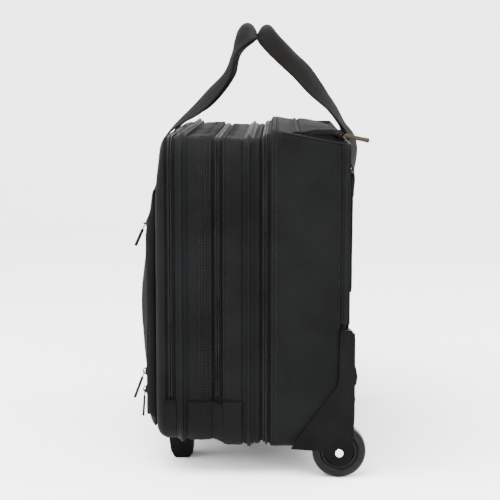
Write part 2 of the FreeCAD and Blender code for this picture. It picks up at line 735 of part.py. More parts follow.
def make_surface_zip(label, left, right, low, high):
    """A zip laid flat on the pocket's face."""
    rear = pocket_face - 0.05
    plate(label, rear - dim.strip_height, rear, left, right, low, high, 3)


# ------------------------------------------------------------------ carrying handles

def make_handle(label, side_outline, grip_y, grip_z, low):
    """Webbing loop: its side view and its front view, extruded and intersected."""
    side_view = new_body(label + "_side_view", kept=False)
    strap = side_sketch(side_view)
    polygon(strap, side_outline)
    pad(side_view, strap, dim.strap_outer * 2 + 10, both_ways=True)
    roll = side_sketch(side_view)
    circle(roll, grip_y, grip_z, dim.grip_roll_radius)
    pad(side_view, roll, dim.strap_outer * 2 + 10, both_ways=True)
    front_view = new_body(label + "_front_view", kept=False)
    arch = front_sketch(front_view)
    rounded(arch, -dim.strap_outer, dim.strap_outer, size(low) - 60, dim.strap_top, dim.strap_corner)
    pad(front_view, arch, 400, both_ways=True)
    window = front_sketch(front_view)
    rounded(window, -dim.strap_inner, dim.strap_inner, size(low) - 90, dim.strap_window_top, 18)
    cut(front_view, window)
    loop = doc.addObject("Part::Common", label)
    loop.Base = side_view
    loop.Tool = front_view
    keep(loop, label)


def strap_outline(route, lean):
    """Both faces of the webbing along a route of (y, z) points; lean is +1 to the back."""
    half = dim.strap_half
    outside = [(size(y) - half * lean, size(z) + half) for y, z in route]
    inside = [(size(y) + half * lean, size(z) - half) for y, z in route]
    return outside + inside[::-1]


def make_handles():
    front_route = [(-101.5, 324), (-102.6, 337), (-99.5, 350), (-89, 363), (-71, 384), (-36, 421),
                   (-23, 449), (dim.front_grip_y - 3, dim.front_grip_z)]
    make_handle("front_handle", strap_outline(front_route, 1), dim.front_grip_y, dim.front_grip_z, 324)
    rear_route = [(116, 326), (118.6, 338), (114, 352.5), (97.5, 369), (69, 426), (57, 444), (45.5, 450.5),
                  (dim.rear_grip_y + 5, dim.rear_grip_z)]
    make_handle("rear_handle", strap_outline(rear_route, -1), dim.rear_grip_y, dim.rear_grip_z, 326)


# ------------------------------------------------------------------ zip sliders and pulls

def make_slider(label, position, turn):
    """Slider in its own frame: x the way the pull lies, z out of the cloth."""
    body = new_body(label)
    base = plan_sketch(body, 0.15)
    half = dim.slider_half
    rounded(base, -half, half, -half, half, 1.5)
    pad(body, base, dim.slider_plate)
    bridge = sketch_on(body, "XZ_Plane")
    reach, top, bar = dim.bridge_half, dim.bridge_height, dim.bridge_bar
    polygon(bridge, [(-reach, 1), (-reach + bar, 1), (-reach + bar, top - bar), (reach - bar, top - bar),
                     (reach - bar, 1), (reach, 1), (reach, top), (-reach, top)])
    pad(body, bridge, dim.bridge_half_width * 2, both_ways=True)
    set_piece(body, position, turn)


def make_pull(label, position, turn, tilt=0):
    """Flat pull whose eye bar lies under the slider's bridge; tilt lifts its far end."""
    body = new_body(label)
    outline = plan_sketch(body)
    bar = dim.pull_bar
    half = dim.pull_half_width
    rounded(outline, -bar, dim.pull_length, -half, half, 0.4)
    rounded(outline, bar, dim.pull_eye, -(half - 1), half - 1, 0.4)
    pad(body, outline, dim.pull_thickness, both_ways=True)
    lifted = turn * Rotation(Vector(0, 1, 0), -tilt)
    out = turn.multVec(Vector(0, 0, 1))
    axis = [size(p) + dim.pull_axis * round(o, 6) for p, o in zip(position, out)]
    set_piece(body, axis, lifted)


def set_piece(body, position, turn):
    body.Placement = Placement(Vector(), turn)
    place(body, *position)


def facing(out, pull_way):
    """The turn that points local z outwards and local x the way the pull lies."""
    z_axis = Vector(*out)
    x_axis = Vector(*pull_way)
    return Rotation(x_axis, z_axis.cross(x_axis), z_axis, "ZXY")


FRONT = facing((0, -1, 0), (0, 0, -1))
FAR_SIDE = facing((-1, 0, 0), (0, 0, -1))
HATCH_PULL_DROP = math.radians(15)
HATCH_END = facing((1, 0, 0), (0, math.cos(HATCH_PULL_DROP), -math.sin(HATCH_PULL_DROP)))


def make_zip_hardware():
    zip_face = pocket_face - 0.05 - dim.strip_height
    tape_face = -(dim.half_width - dim.zip_recess)
    rim_face = dim.flap_half_width + 0.4 + dim.rim_width
    pieces = [
        ("quick", (150, zip_face, dim.quick_zip_z), FRONT, 8),
        ("pocket_upper", (dim.pocket_zip_x, zip_face, 108), FRONT, 21),
        ("pocket_lower", (dim.pocket_zip_x, zip_face, 88), FRONT, 2),
        ("organizer", (tape_face, dim.organizer_zip_y, 312), FAR_SIDE, 0),
        ("laptop", (tape_face, dim.laptop_zip_y, 312), FAR_SIDE, 0),
        ("main", (tape_face, dim.main_zip_y, 312), FAR_SIDE, 0),
        ("hatch", (rim_face, 92.2, dim.flap_top - 3.3), HATCH_END, 0),
    ]
    for name, position, turn, tilt in pieces:
        make_slider(name + "_slider", position, turn)
        make_pull(name + "_pull", position, turn, tilt)


# ------------------------------------------------------------------ the whole case

make_rear_gusset()
make_back_panel()
make_frame_board()
make_rear_piping()
make_back_pocket()
make_kick_plate()
make_skid_rails()
for side_name, side_sign in (("right", 1), ("left", -1)):
    make_wheel_guard("wheel_guard_" + side_name, side_sign)
    make_axle("axle_" + side_name, side_sign)
    make_wheel(side_name, side_sign)
tube_pair("trolley_outer_tubes", dim.outer_tube_radius, dim.tube_low, dim.tube_top)
tube_pair("trolley_middle_tubes", dim.middle_tube_radius, dim.tube_low + 2, dim.tube_top + 1.5)
tube_pair("trolley_inner_tubes", dim.inner_tube_radius, dim.tube_low + 4, dim.grip_low + 8.9)
make_tube_holder("trolley_foot", dim.rear_low + dim.wall + 0.2, 46, dim.tube_low)
make_tube_holder("trolley_top_guide", 317, dim.tube_top, 317)
make_trolley_grip()
make_trolley_button()
make_hatch_flap()
make_hatch_zip()
zip_tape("main_zip_rear_tape", dim.main_zip_y + dim.zip_gap, dim.rear_low, dim.case_top)
make_middle_section()
make_front_section()
make_front_feet()
make_organizer_lid()
make_front_pocket()
make_surface_zip("quick_zip", -150, 164, dim.quick_zip_z - dim.strip_half, dim.quick_zip_z + dim.strip_half)
make_surface_zip("pocket_zip", dim.pocket_zip_x - dim.strip_half, dim.pocket_zip_x + dim.strip_half, 62, 258)
make_handles()
make_zip_hardware()

doc.recompute()

for thing in doc.Objects:
    if "Invalid" in thing.State or "Error" in thing.State:
        raise RuntimeError("%s failed: %s" % (thing.Label, thing.State))
for node in nodes:
    if node.Shape.isNull() or not node.Shape.isValid() or not node.Shape.Solids:
        raise RuntimeError("%s has no valid solid" % node.Label)
for node in nodes:
    node.Shape.exportStep("parts/%s.step" % node.Label)
    print("%-26s solids %d volume %10.1f mm3" % (node.Label, len(node.Shape.Solids), node.Shape.Volume))
print(len(nodes), "nodes")
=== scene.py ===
import json
import math

import bmesh
import bpy
import numpy as np
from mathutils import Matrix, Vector
from mathutils.bvhtree import BVHTree


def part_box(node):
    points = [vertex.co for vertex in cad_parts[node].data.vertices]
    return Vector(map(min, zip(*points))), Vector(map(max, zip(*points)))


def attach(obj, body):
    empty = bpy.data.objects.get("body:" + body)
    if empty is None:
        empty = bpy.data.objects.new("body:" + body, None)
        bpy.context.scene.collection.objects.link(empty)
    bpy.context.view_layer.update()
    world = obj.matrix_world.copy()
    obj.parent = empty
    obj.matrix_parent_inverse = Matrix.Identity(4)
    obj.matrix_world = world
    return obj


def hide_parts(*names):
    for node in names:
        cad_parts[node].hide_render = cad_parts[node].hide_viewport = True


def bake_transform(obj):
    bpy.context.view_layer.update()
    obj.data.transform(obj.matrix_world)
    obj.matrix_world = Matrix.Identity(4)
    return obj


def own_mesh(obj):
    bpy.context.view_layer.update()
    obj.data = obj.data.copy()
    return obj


# Looks of the rolling laptop case.  Metres, in the CAD frame: X across, -Y front, +Y back, Z up.

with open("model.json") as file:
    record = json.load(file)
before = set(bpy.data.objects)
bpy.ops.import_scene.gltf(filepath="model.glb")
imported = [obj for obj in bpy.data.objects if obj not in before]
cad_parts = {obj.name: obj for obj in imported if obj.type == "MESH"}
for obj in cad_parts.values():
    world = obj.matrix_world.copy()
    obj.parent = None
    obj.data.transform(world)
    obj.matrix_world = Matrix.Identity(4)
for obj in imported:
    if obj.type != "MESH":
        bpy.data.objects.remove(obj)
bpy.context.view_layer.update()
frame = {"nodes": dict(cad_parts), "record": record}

MM = 0.001
SEED = 11
CORNER = 28 * MM          # corner radius of the soft sections, seen from the front
SEWN_CORNER = 7 * MM      # tighter, sewn corner along the top of the rear section
LINE_STEPS = 36           # points along half of a level edge
SIDE_STEPS = 56           # points along an upright edge
ARC_STEPS = 10            # points round a corner
ZIP_END = 88 * MM         # height where the two front zips stop


def low(node):
    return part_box(node)[0]


def high(node):
    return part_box(node)[1]


HALF = high("front_gusset")[0]

# ------------------------------------------------------------------ mesh building


def smooth_rng(tag):
    """A steady random source for one piece."""
    return np.random.default_rng(SEED + sum(ord(c) * (i + 1) for i, c in enumerate(tag)))


def ripple(tag, scale, count=7):
    """A smooth random field over two coordinates, about -1 to 1."""
    rng = smooth_rng(tag)
    waves = rng.normal(size=(count, 2)) * 2 * math.pi / scale
    phases = rng.uniform(0, 2 * math.pi, count)
    return lambda a, b: sum(np.sin(a * w[0] + b * w[1] + p) for w, p in zip(waves, phases)) / (0.7 * count)


def new_mesh(name, verts, faces, smooth=True):
    mesh = bpy.data.meshes.new(name)
    mesh.from_pydata([tuple(v) for v in np.asarray(verts, float).reshape(-1, 3)], [], faces)
    if smooth:
        mesh.polygons.foreach_set("use_smooth", [True] * len(mesh.polygons))
    mesh.update()
    piece = bpy.data.objects.new(name, mesh)
    bpy.context.collection.objects.link(piece)
    return piece


def grid_faces(rows, columns, close_rows, close_columns, start=0):
    """Quads over a rows x columns grid of points, wrapped round where it closes."""
    faces = []
    for i in range(rows if close_rows else rows - 1):
        below = start + i * columns
        above = start + (i + 1) % rows * columns
        for j in range(columns if close_columns else columns - 1):
            k = (j + 1) % columns
            faces.append((below + j, below + k, above + k, above + j))
    return faces


def flipped(faces):
    return [face[::-1] for face in faces]


def tube_faces(rows, sides):
    """Faces of a tube of closed rings, with both ends capped."""
    faces = grid_faces(rows, sides, False, True)
    faces.append(tuple(range(sides))[::-1])
    faces.append(tuple(range((rows - 1) * sides, rows * sides)))
    return faces


def strip_faces(rows, columns):
    """Faces of a strip whose rows close on themselves, with both ends capped."""
    faces = grid_faces(rows, columns, True, False)
    faces.append(tuple(i * columns for i in range(rows))[::-1])
    faces.append(tuple((i + 1) * columns - 1 for i in range(rows)))
    return flipped(faces)


def from_end_to_end(chosen, loop):
    """Puts the chosen points of a loop in order along the open strip that they make."""
    half = len(loop[0]) // 2
    return np.concatenate([chosen[chosen > half], chosen[chosen <= half]])


def unit(vectors):
    """Each row at length one."""
    return vectors / (np.linalg.norm(vectors, axis=1)[:, None] + 1e-12)


def square_to(tangents, vectors):
    """Each row turned square to its tangent, at length one."""
    return unit(vectors - tangents * np.sum(vectors * tangents, axis=1)[:, None])


def distance_along(path):
    return np.concatenate([[0], np.cumsum(np.linalg.norm(np.diff(path, axis=0), axis=1))])


def at_distances(wanted, along, values):
    """Reads values given along a path at other distances along it."""
    return np.stack([np.interp(wanted, along, column) for column in values.T], axis=1)


def surface_of(piece):
    """A tree that finds where a ray meets the piece."""
    mesh = piece.data
    return BVHTree.FromPolygons([v.co[:] for v in mesh.vertices], [p.vertices[:] for p in mesh.polygons])


def finish_piece(piece, body, material, replaced=()):
    piece.data.materials.append(material)
    if body is not None:
        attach(piece, body)
    if replaced:
        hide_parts(*replaced)
    return piece


def rounded_loop(half, bottom, top, radius, top_radius=None):
    """Points and outward normals of a rounded rectangle, from the bottom middle towards +x."""
    upper = radius if top_radius is None else top_radius
    x, z, nx, nz = [], [], [], []

    def line(x0, z0, x1, z1, normal, steps):
        for i in range(steps):
            share = i / steps
            x.append(x0 + (x1 - x0) * share)
            z.append(z0 + (z1 - z0) * share)
            nx.append(normal[0])
            nz.append(normal[1])

    def arc(cx, cz, start, size):
        for i in range(ARC_STEPS):
            angle = start + i / ARC_STEPS * math.pi / 2
            x.append(cx + size * math.cos(angle))
            z.append(cz + size * math.sin(angle))
            nx.append(math.cos(angle))
            nz.append(math.sin(angle))

    run, top_run = half - radius, half - upper
    line(0, bottom, run, bottom, (0, -1), LINE_STEPS)
    arc(run, bottom + radius, -math.pi / 2, radius)
    line(half, bottom + radius, half, top - upper, (1, 0), SIDE_STEPS)
    arc(top_run, top - upper, 0, upper)
    line(top_run, top, -top_run, top, (0, 1), LINE_STEPS * 2)
    arc(-top_run, top - upper, math.pi / 2, upper)
    line(-half, top - upper, -half, bottom + radius, (-1, 0), SIDE_STEPS)
    arc(-run, bottom + radius, math.pi, radius)
    line(-run, bottom, 0, bottom, (0, -1), LINE_STEPS)
    return np.array([x, z, nx, nz])


class Section:
    """One soft section of the case: its outline at any depth."""

    def __init__(self, half, bottom, top, slope=None, meets=()):
        self.half, self.bottom, self.top, self.slope, self.meets = half, bottom, top, slope, meets

    def rise(self, y):
        """How far the top is drawn towards its neighbour's; meets holds (zip line, free depth, step)."""
        total = 0.0
        for line, free, step in self.meets:
            share = min(1.0, max(0.0, (y - free) / (line - free)))
            total += step * share * share * (3 - 2 * share)
        return total

    def loop(self, y):
        if self.slope is None:
            return rounded_loop(self.half, self.bottom, self.top + self.rise(y), CORNER)
        front, rear, rear_top = self.slope
        share = max(0.0, (y - front) / (rear - front))
        sewn = min(1.0, max(0.0, (y - front - 3 * MM) / (9 * MM)))
        corner = CORNER + (SEWN_CORNER - CORNER) * sewn
        top = self.top + (rear_top - self.top) * share + self.rise(y)
        return rounded_loop(self.half, self.bottom, top, CORNER, corner)


def band(name, section, profile, relief=None, keep=None):
    """A closed band round a section.  The profile is a closed list of (depth, stand-off);
    relief(x, y, z, nx, nz) adds to the stand-off; keep picks the loop points of an open band."""
    rows = []
    for y, out in profile:
        x, z, nx, nz = section.loop(y)
        if keep is not None:
            x, z, nx, nz = [part[keep] for part in (x, z, nx, nz)]
        stand = np.full(len(x), float(out))
        if relief is not None:
            stand = stand + relief(x, y, z, nx, nz, out)
        rows.append(np.stack([x + nx * stand, np.full(len(x), y), z + nz * stand], axis=1))
    points = np.array(rows)
    if keep is None:
        return new_mesh(name, points, flipped(grid_faces(len(rows), points.shape[1], True, True)))
    return new_mesh(name, points, strip_faces(len(rows), points.shape[1]))


def resample(loop, y, pitch, stand):
    """Evenly spaced points, tangents and normals along a closed loop at depth y."""
    x, z, nx, nz = loop
    px, pz = x + nx * stand, z + nz * stand
    px, pz, nx, nz = [np.append(part, part[0]) for part in (px, pz, nx, nz)]
    along = np.concatenate([[0], np.cumsum(np.hypot(np.diff(px), np.diff(pz)))])
    count = max(3, int(along[-1] / pitch))
    at = (np.arange(count) + 0.5) * along[-1] / count
    values = [np.interp(at, along, part) for part in (px, pz, nx, nz)]
    centre = np.stack([values[0], np.full(count, y), values[1]], axis=1)
    normal = unit(np.stack([values[2], np.zeros(count), values[3]], axis=1))
    return centre, np.cross(normal, [0, 1, 0]), normal


def capsule(length, width, height, sides=6):
    """A rounded bead along local x."""
    end = length / 2
    shoulder = end - min(width, height) * 0.5
    angles = [2 * math.pi * i / sides for i in range(sides)]
    verts = [(-end, 0, 0)]
    for x in (-shoulder, shoulder):
        verts += [(x, width / 2 * math.cos(a), height / 2 * math.sin(a)) for a in angles]
    verts.append((end, 0, 0))
    faces = [(0, 1 + (i + 1) % sides, 1 + i) for i in range(sides)]
    faces += grid_faces(2, sides, False, True, 1)
    last = 1 + 2 * sides
    faces += [(last, 1 + sides + i, 1 + sides + (i + 1) % sides) for i in range(sides)]
    return np.array(verts), faces


def scatter(name, template, centre, along, out):
    """One mesh of many copies of a bead: local x along, local z out."""
    verts, faces = template
    across = np.cross(out, along)
    copies = (centre[:, None, :] + verts[None, :, 0, None] * along[:, None, :]
              + verts[None, :, 1, None] * across[:, None, :] + verts[None, :, 2, None] * out[:, None, :])
    size = len(verts)
    all_faces = [tuple(v + k * size for v in face) for k in range(len(centre)) for face in faces]
    return new_mesh(name, copies, all_faces)


def pillow(name, outline, y_seam, y_face, edge, shape, rings=22, centre_x=0.0, rise_over=None):
    """A closed panel: flat at its seam side, rounded over at the edge, shaped on its face.
    outline is (half, bottom, top, radius) and perhaps a top radius; shape(x, z) adds to the face's
    depth; edge is how far the rounding reaches in, and rise_over how deep it is."""
    bottom, top = outline[1], outline[2]
    x, z, nx, nz = rounded_loop(*outline)
    deep = rise_over or edge
    way = 1.0 if y_face > y_seam else -1.0
    middle = (bottom + top) / 2
    wall = abs(y_face - y_seam) - deep
    rows = [(x * s, np.full(len(x), y_seam), middle + (z - middle) * s) for s in (0.01, 0.5, 0.97)]
    rows += [(x, np.full(len(x), y_seam + way * wall * s), z) for s in (0.0, 0.5)]
    for angle in np.linspace(0, math.pi / 2, 9):
        inset = edge * (1 - math.cos(angle))
        px, pz = x - nx * inset, z - nz * inset
        rise = way * (wall + deep * math.sin(angle)) + way * shape(px + centre_x, pz) * math.sin(angle)
        rows.append((px, y_seam + rise, pz))
    inner_x, inner_z = x - nx * edge, z - nz * edge
    for s in np.linspace(1, 0.01, rings)[1:] ** 0.9:
        px, pz = inner_x * s, middle + (inner_z - middle) * s
        rows.append((px, y_face + way * shape(px + centre_x, pz), pz))
    points = np.array([np.stack(row, axis=1) for row in rows])
    points[:, :, 0] += centre_x
    faces = grid_faces(len(rows), len(x), False, True)
    faces.append(tuple(range(len(x)))[::-1])
    last = (len(rows) - 1) * len(x)
    faces.append(tuple(range(last, last + len(x))))
    return new_mesh(name, points, flipped(faces) if way > 0 else faces)


SETTLE_REACH = 50 * MM    # how far off a surface its rays start


def settle(points, piece, toward, lift=0.0):
    """Drops points onto a piece's surface along a direction."""
    surface = surface_of(piece)
    way = Vector(toward)
    landed = []
    for point in points:
        hit = surface.ray_cast(Vector(point) - way * SETTLE_REACH, way)[0]
        landed.append(Vector(point) if hit is None else hit - way * lift)
    return np.array(landed)


def stitch_path(name, path, piece, toward, body, pitch=3.3 * MM, closed=False,
                bead=(2.4 * MM, 0.55 * MM, 0.45 * MM), lift=0.1 * MM):
    """Evenly spaced stitches along a line of points, laid on a piece's surface."""
    path = np.asarray(path, float)
    if closed:
        path = np.vstack([path, path[:1]])
    along = distance_along(path)
    count = max(2, int(along[-1] / pitch))
    middles = (np.arange(count) + 0.5) * along[-1] / count
    centre = settle(at_distances(middles, along, path), piece, toward, lift)
    tangent = unit(np.gradient(centre, axis=0))
    out = square_to(tangent, np.tile(-np.array(toward, float), (count, 1)))
    return finish_piece(scatter(name, capsule(*bead), centre, tangent, out), body, THREAD)


def swell(piece, voxel, pressure, cap, frames=20):
    """Inflates a closed piece a little with Cloth, so that its face takes real folds."""
    before = piece.modifiers.new("even", "REMESH")
    before.mode = "VOXEL"
    before.voxel_size = voxel
    apply_modifiers(piece)
    start = np.empty(len(piece.data.vertices) * 3)
    piece.data.vertices.foreach_get("co", start)
    cloth_modifier = piece.modifiers.new("swell", "CLOTH")
    settings = cloth_modifier.settings
    settings.use_pressure = True
    settings.uniform_pressure_force = pressure
    settings.effector_weights.gravity = 0
    settings.quality = 5
    settings.mass = 0.25
    settings.tension_stiffness = 18
    settings.bending_stiffness = 0.6
    settings.shrink_min = -0.02
    for number in range(1, frames + 1):
        bpy.context.scene.frame_set(number)
    apply_modifiers(piece)
    end = np.empty(len(piece.data.vertices) * 3)
    piece.data.vertices.foreach_get("co", end)
    move = (end - start).reshape(-1, 3)
    length = np.linalg.norm(move, axis=1)[:, None]
    move *= np.minimum(1.0, cap / np.maximum(length, 1e-9))
    piece.data.vertices.foreach_set("co", (start.reshape(-1, 3) + move).ravel())
    bpy.context.scene.frame_set(1)
    finer = piece.modifiers.new("finer", "SUBSURF")
    finer.levels = 1
    apply_modifiers(piece)
    piece.data.polygons.foreach_set("use_smooth", [True] * len(piece.data.polygons))


def apply_modifiers(piece):
    view = bpy.context.evaluated_depsgraph_get()
    mesh = bpy.data.meshes.new_from_object(piece.evaluated_get(view))
    piece.modifiers.clear()
    piece.data = mesh


# ------------------------------------------------------------------ materials


def shader(name):
    material = bpy.data.materials.new(name)
    material.use_nodes = True
    nodes = material.node_tree.nodes
    return material, nodes, material.node_tree.links, nodes["Principled BSDF"]


def node(nodes, kind, **inputs):
    made = nodes.new(kind)
    for key, value in inputs.items():
        made.inputs[key.replace("_", " ")].default_value = value
    return made


def noise(nodes, links, coordinates, scale, detail=3.0, stretch=None):
    made = node(nodes, "ShaderNodeTexNoise", Scale=scale, Detail=detail)
    if stretch is None:
        links.new(coordinates, made.inputs["Vector"])
        return made.outputs["Fac"]
    mapping = nodes.new("ShaderNodeMapping")
    mapping.inputs["Scale"].default_value = stretch
    links.new(coordinates, mapping.inputs["Vector"])
    links.new(mapping.outputs["Vector"], made.inputs["Vector"])
    return made.outputs["Fac"]


def maths(nodes, links, operation, first, second):
    made = nodes.new("ShaderNodeMath")
    made.operation = operation
    for socket, value in zip(made.inputs, (first, second)):
        if isinstance(value, (int, float)):
            socket.default_value = value
        else:
            links.new(value, socket)
    return made.outputs["Value"]


def ramp(nodes, links, factor, stops):
    made = nodes.new("ShaderNodeValToRGB")
    made.color_ramp.elements[0].position, made.color_ramp.elements[0].color = stops[0]
    made.color_ramp.elements[1].position, made.color_ramp.elements[1].color = stops[-1]
    for position, colour in stops[1:-1]:
        made.color_ramp.elements.new(position).color = colour
    links.new(factor, made.inputs["Fac"])
    return made.outputs["Color"]


def spread(nodes, links, value, low_value, high_value):
    made = nodes.new("ShaderNodeMapRange")
    made.inputs["To Min"].default_value = low_value
    made.inputs["To Max"].default_value = high_value
    links.new(value, made.inputs["Value"])
    return made.outputs["Result"]


def bumps(nodes, links, bsdf, layers):
    """Chains bumps given as (height, strength, distance)."""
    last = None
    for height, strength, distance in layers:
        made = nodes.new("ShaderNodeBump")
        made.inputs["Strength"].default_value = strength
        made.inputs["Distance"].default_value = distance
        links.new(height, made.inputs["Height"])
        if last is not None:
            links.new(last, made.inputs["Normal"])
        last = made.outputs["Normal"]
    links.new(last, bsdf.inputs["Normal"])


def grey(value, warm=0.0):
    return (value * (1 + warm), value, value * (1 - warm), 1.0)


CLOTH_IOR = 1.12          # a weak surface shine, so that level faces stay as dark as upright ones


def cloth(name, dark, light, warm=0.0, thread=0.7 * MM, rough=(0.6, 0.8), sheen=0.002, weave=0.5,
          puckers=0.35):
    """Woven cloth: threads both ways, uneven dye, soft puckers and a little sheen."""
    material, nodes, links, bsdf = shader(name)
    place = nodes.new("ShaderNodeTexCoord").outputs["Object"]
    blotch = noise(nodes, links, place, 16.0, 4.0)
    fibre = noise(nodes, links, place, 1300.0, 2.0)
    threads = None
    for axis in ("X", "Y", "Z"):
        wave = node(nodes, "ShaderNodeTexWave", Scale=0.314 / thread, Distortion=0.6, Detail=1.0)
        wave.bands_direction = axis
        links.new(place, wave.inputs["Vector"])
        one = wave.outputs["Fac"]
        threads = one if threads is None else maths(nodes, links, "ADD", threads, one)
    tone = maths(nodes, links, "ADD", maths(nodes, links, "MULTIPLY", blotch, 0.7),
                 maths(nodes, links, "MULTIPLY", fibre, 0.3))
    colour = ramp(nodes, links, tone, [(0.36, grey(dark, warm)), (0.64, grey(light, warm))])
    links.new(colour, bsdf.inputs["Base Color"])
    links.new(spread(nodes, links, blotch, *rough), bsdf.inputs["Roughness"])
    bsdf.inputs["Sheen Weight"].default_value = sheen
    bsdf.inputs["Sheen Roughness"].default_value = 0.45
    bsdf.inputs["IOR"].default_value = CLOTH_IOR
    pucker = noise(nodes, links, place, 45.0, 3.0)
    bumps(nodes, links, bsdf, [(pucker, puckers, 2.0 * MM), (threads, weave, 0.12 * MM),
                               (fibre, 0.4, 0.08 * MM)])
    return material


def plastic(name, dark, light, rough, grain=0.25, warm=0.0, specular=0.3):
    """Moulded plastic with a fine eroded grain and rubbed patches."""
    material, nodes, links, bsdf = shader(name)
    place = nodes.new("ShaderNodeTexCoord").outputs["Object"]
    patch = noise(nodes, links, place, 24.0, 5.0)
    fine = noise(nodes, links, place, 1500.0, 2.0)
    scuff = noise(nodes, links, place, 140.0, 2.0, stretch=(1.0, 1.0, 0.12))
    links.new(ramp(nodes, links, patch, [(0.35, grey(dark, warm)), (0.68, grey(light, warm))]),
              bsdf.inputs["Base Color"])
    links.new(spread(nodes, links, maths(nodes, links, "MULTIPLY", patch, scuff), rough[0], rough[1]),
              bsdf.inputs["Roughness"])
    bsdf.inputs["Specular IOR Level"].default_value = specular
    bumps(nodes, links, bsdf, [(fine, grain, 0.12 * MM), (scuff, 0.12, 0.1 * MM)])
    return material


def metal(name, colour, rough, brushed=(1.0, 1.0, 0.05)):
    material, nodes, links, bsdf = shader(name)
    place = nodes.new("ShaderNodeTexCoord").outputs["Object"]
    lines = noise(nodes, links, place, 900.0, 2.0, stretch=brushed)
    stain = noise(nodes, links, place, 60.0, 3.0)
    shade = tuple(c * 0.75 for c in colour)
    links.new(ramp(nodes, links, stain, [(0.3, (*shade, 1)), (0.7, (*colour, 1))]), bsdf.inputs["Base Color"])
    bsdf.inputs["Metallic"].default_value = 1.0
    links.new(spread(nodes, links, lines, rough[0], rough[1]), bsdf.inputs["Roughness"])
    bumps(nodes, links, bsdf, [(lines, 0.1, 0.05 * MM)])
    return material


SHELL = cloth("shell_cloth", 0.0015, 0.0036, warm=-0.05)
BASE = cloth("base_cloth", 0.0016, 0.0036, warm=0.02, thread=0.9 * MM, weave=0.8)
LINING = cloth("lining_cloth", 0.008, 0.014, warm=0.02, thread=0.5 * MM, puckers=0.7)
PIPING = cloth("piping_cloth", 0.0014, 0.0034, warm=-0.08, thread=0.5 * MM, rough=(0.42, 0.6), puckers=0.2)
TAPE = cloth("tape_cloth", 0.0016, 0.0036, warm=0.05, thread=0.6 * MM)
WEBBING = cloth("webbing_cloth", 0.0010, 0.0040, warm=0.08, thread=0.9 * MM, sheen=0.006, weave=1.0)
THREAD = cloth("thread_cloth", 0.006, 0.013, warm=0.03, thread=0.3 * MM, rough=(0.4, 0.55), puckers=0.05)
# The coil's base colour is lighter than the other black plastics: partly its own nylon, partly a painted
# highlight for the glints along its rows.
COIL = plastic("coil_nylon", 0.003, 0.008, (0.25, 0.4), grain=0.05, warm=0.03, specular=0.09)
GUARD = plastic("guard_plastic", 0.0014, 0.0030, (0.34, 0.5), specular=0.03)
GRIP = plastic("grip_plastic", 0.002, 0.004, (0.3, 0.45), specular=0.08)
TYRE = plastic("tyre_rubber", 0.002, 0.006, (0.22, 0.45), grain=0.4, specular=0.08)
BOARD = plastic("board_plastic", 0.01, 0.016, (0.6, 0.75))
ALUMINIUM = metal("tube_aluminium", (0.62, 0.63, 0.65), (0.25, 0.42), (1.0, 1.0, 0.02))
STEEL = metal("axle_steel", (0.85, 0.78, 0.66), (0.06, 0.16))
BRASS = metal("bush_brass", (0.72, 0.56, 0.3), (0.2, 0.4))
HARDWARE = metal("zip_hardware", (0.010, 0.0096, 0.009), (0.22, 0.38))
PULL = plastic("pull_cord", 0.0025, 0.007, (0.4, 0.6), grain=0.2, warm=0.14, specular=0.06)
PULL_TAN = plastic("pull_cord_tan", 0.010, 0.024, (0.4, 0.6), grain=0.2, warm=0.3, specular=0.05)

CAD_LOOKS = {
    GUARD: ["kick_plate", "skid_rails", "wheel_guard_right", "wheel_guard_left", "trolley_foot",
            "trolley_top_guide", "front_feet"],
    GRIP: ["trolley_grip", "trolley_button", "hub_right", "hub_left"],
    ALUMINIUM: ["trolley_outer_tubes", "trolley_middle_tubes", "trolley_inner_tubes"],
    STEEL: ["axle_right", "axle_left"],
    TYRE: ["tyre_right", "tyre_left"],
    BRASS: ["bush_right", "bush_left"],
    BOARD: ["frame_board"],
}

# Width of the rounding on each moulding's edges, in millimetres.
SOFT_EDGES = {"wheel_guard_right": 1.4, "wheel_guard_left": 1.4, "skid_rails": 1.5, "front_feet": 2.5,
              "trolley_top_guide": 1.0, "kick_plate": 1.0}


def dress_cad_nodes():
    for material, names in CAD_LOOKS.items():
        for name in names:
            part = frame["nodes"][name]
            part.data.materials.clear()
            part.data.materials.append(material)


def body_of(node_name):
    bodies = frame["record"]["behaviour"]["bodies"]
    return [name for name, members in bodies.items() if node_name in members][0]


def soften_moulded_parts():
    """Replaces each hard-edged moulding with a copy whose edges are rounded."""
    for name, width in SOFT_EDGES.items():
        part = frame["nodes"][name]
        shape = bmesh.new()
        shape.from_mesh(part.data)
        shape.transform(part.matrix_world)
        bmesh.ops.remove_doubles(shape, verts=shape.verts, dist=0.01 * MM)
        bmesh.ops.dissolve_limit(shape, angle_limit=math.radians(1), verts=shape.verts, edges=shape.edges)
        sharp = [e for e in shape.edges if len(e.link_faces) == 2 and e.calc_face_angle(0) > math.radians(35)]
        bmesh.ops.bevel(shape, geom=sharp, offset=width * MM, segments=3, profile=0.5, affect="EDGES",
                        clamp_overlap=True)
        mesh = bpy.data.meshes.new(name + "_moulding")
        shape.to_mesh(mesh)
        shape.free()
        mesh.polygons.foreach_set("use_smooth", [True] * len(mesh.polygons))
        mesh.set_sharp_from_angle(angle=math.radians(40))
        piece = bpy.data.objects.new(name + "_moulding", mesh)
        bpy.context.collection.objects.link(piece)
        finish_piece(piece, body_of(name), GUARD, [name])


# ------------------------------------------------------------------ stage, light and camera


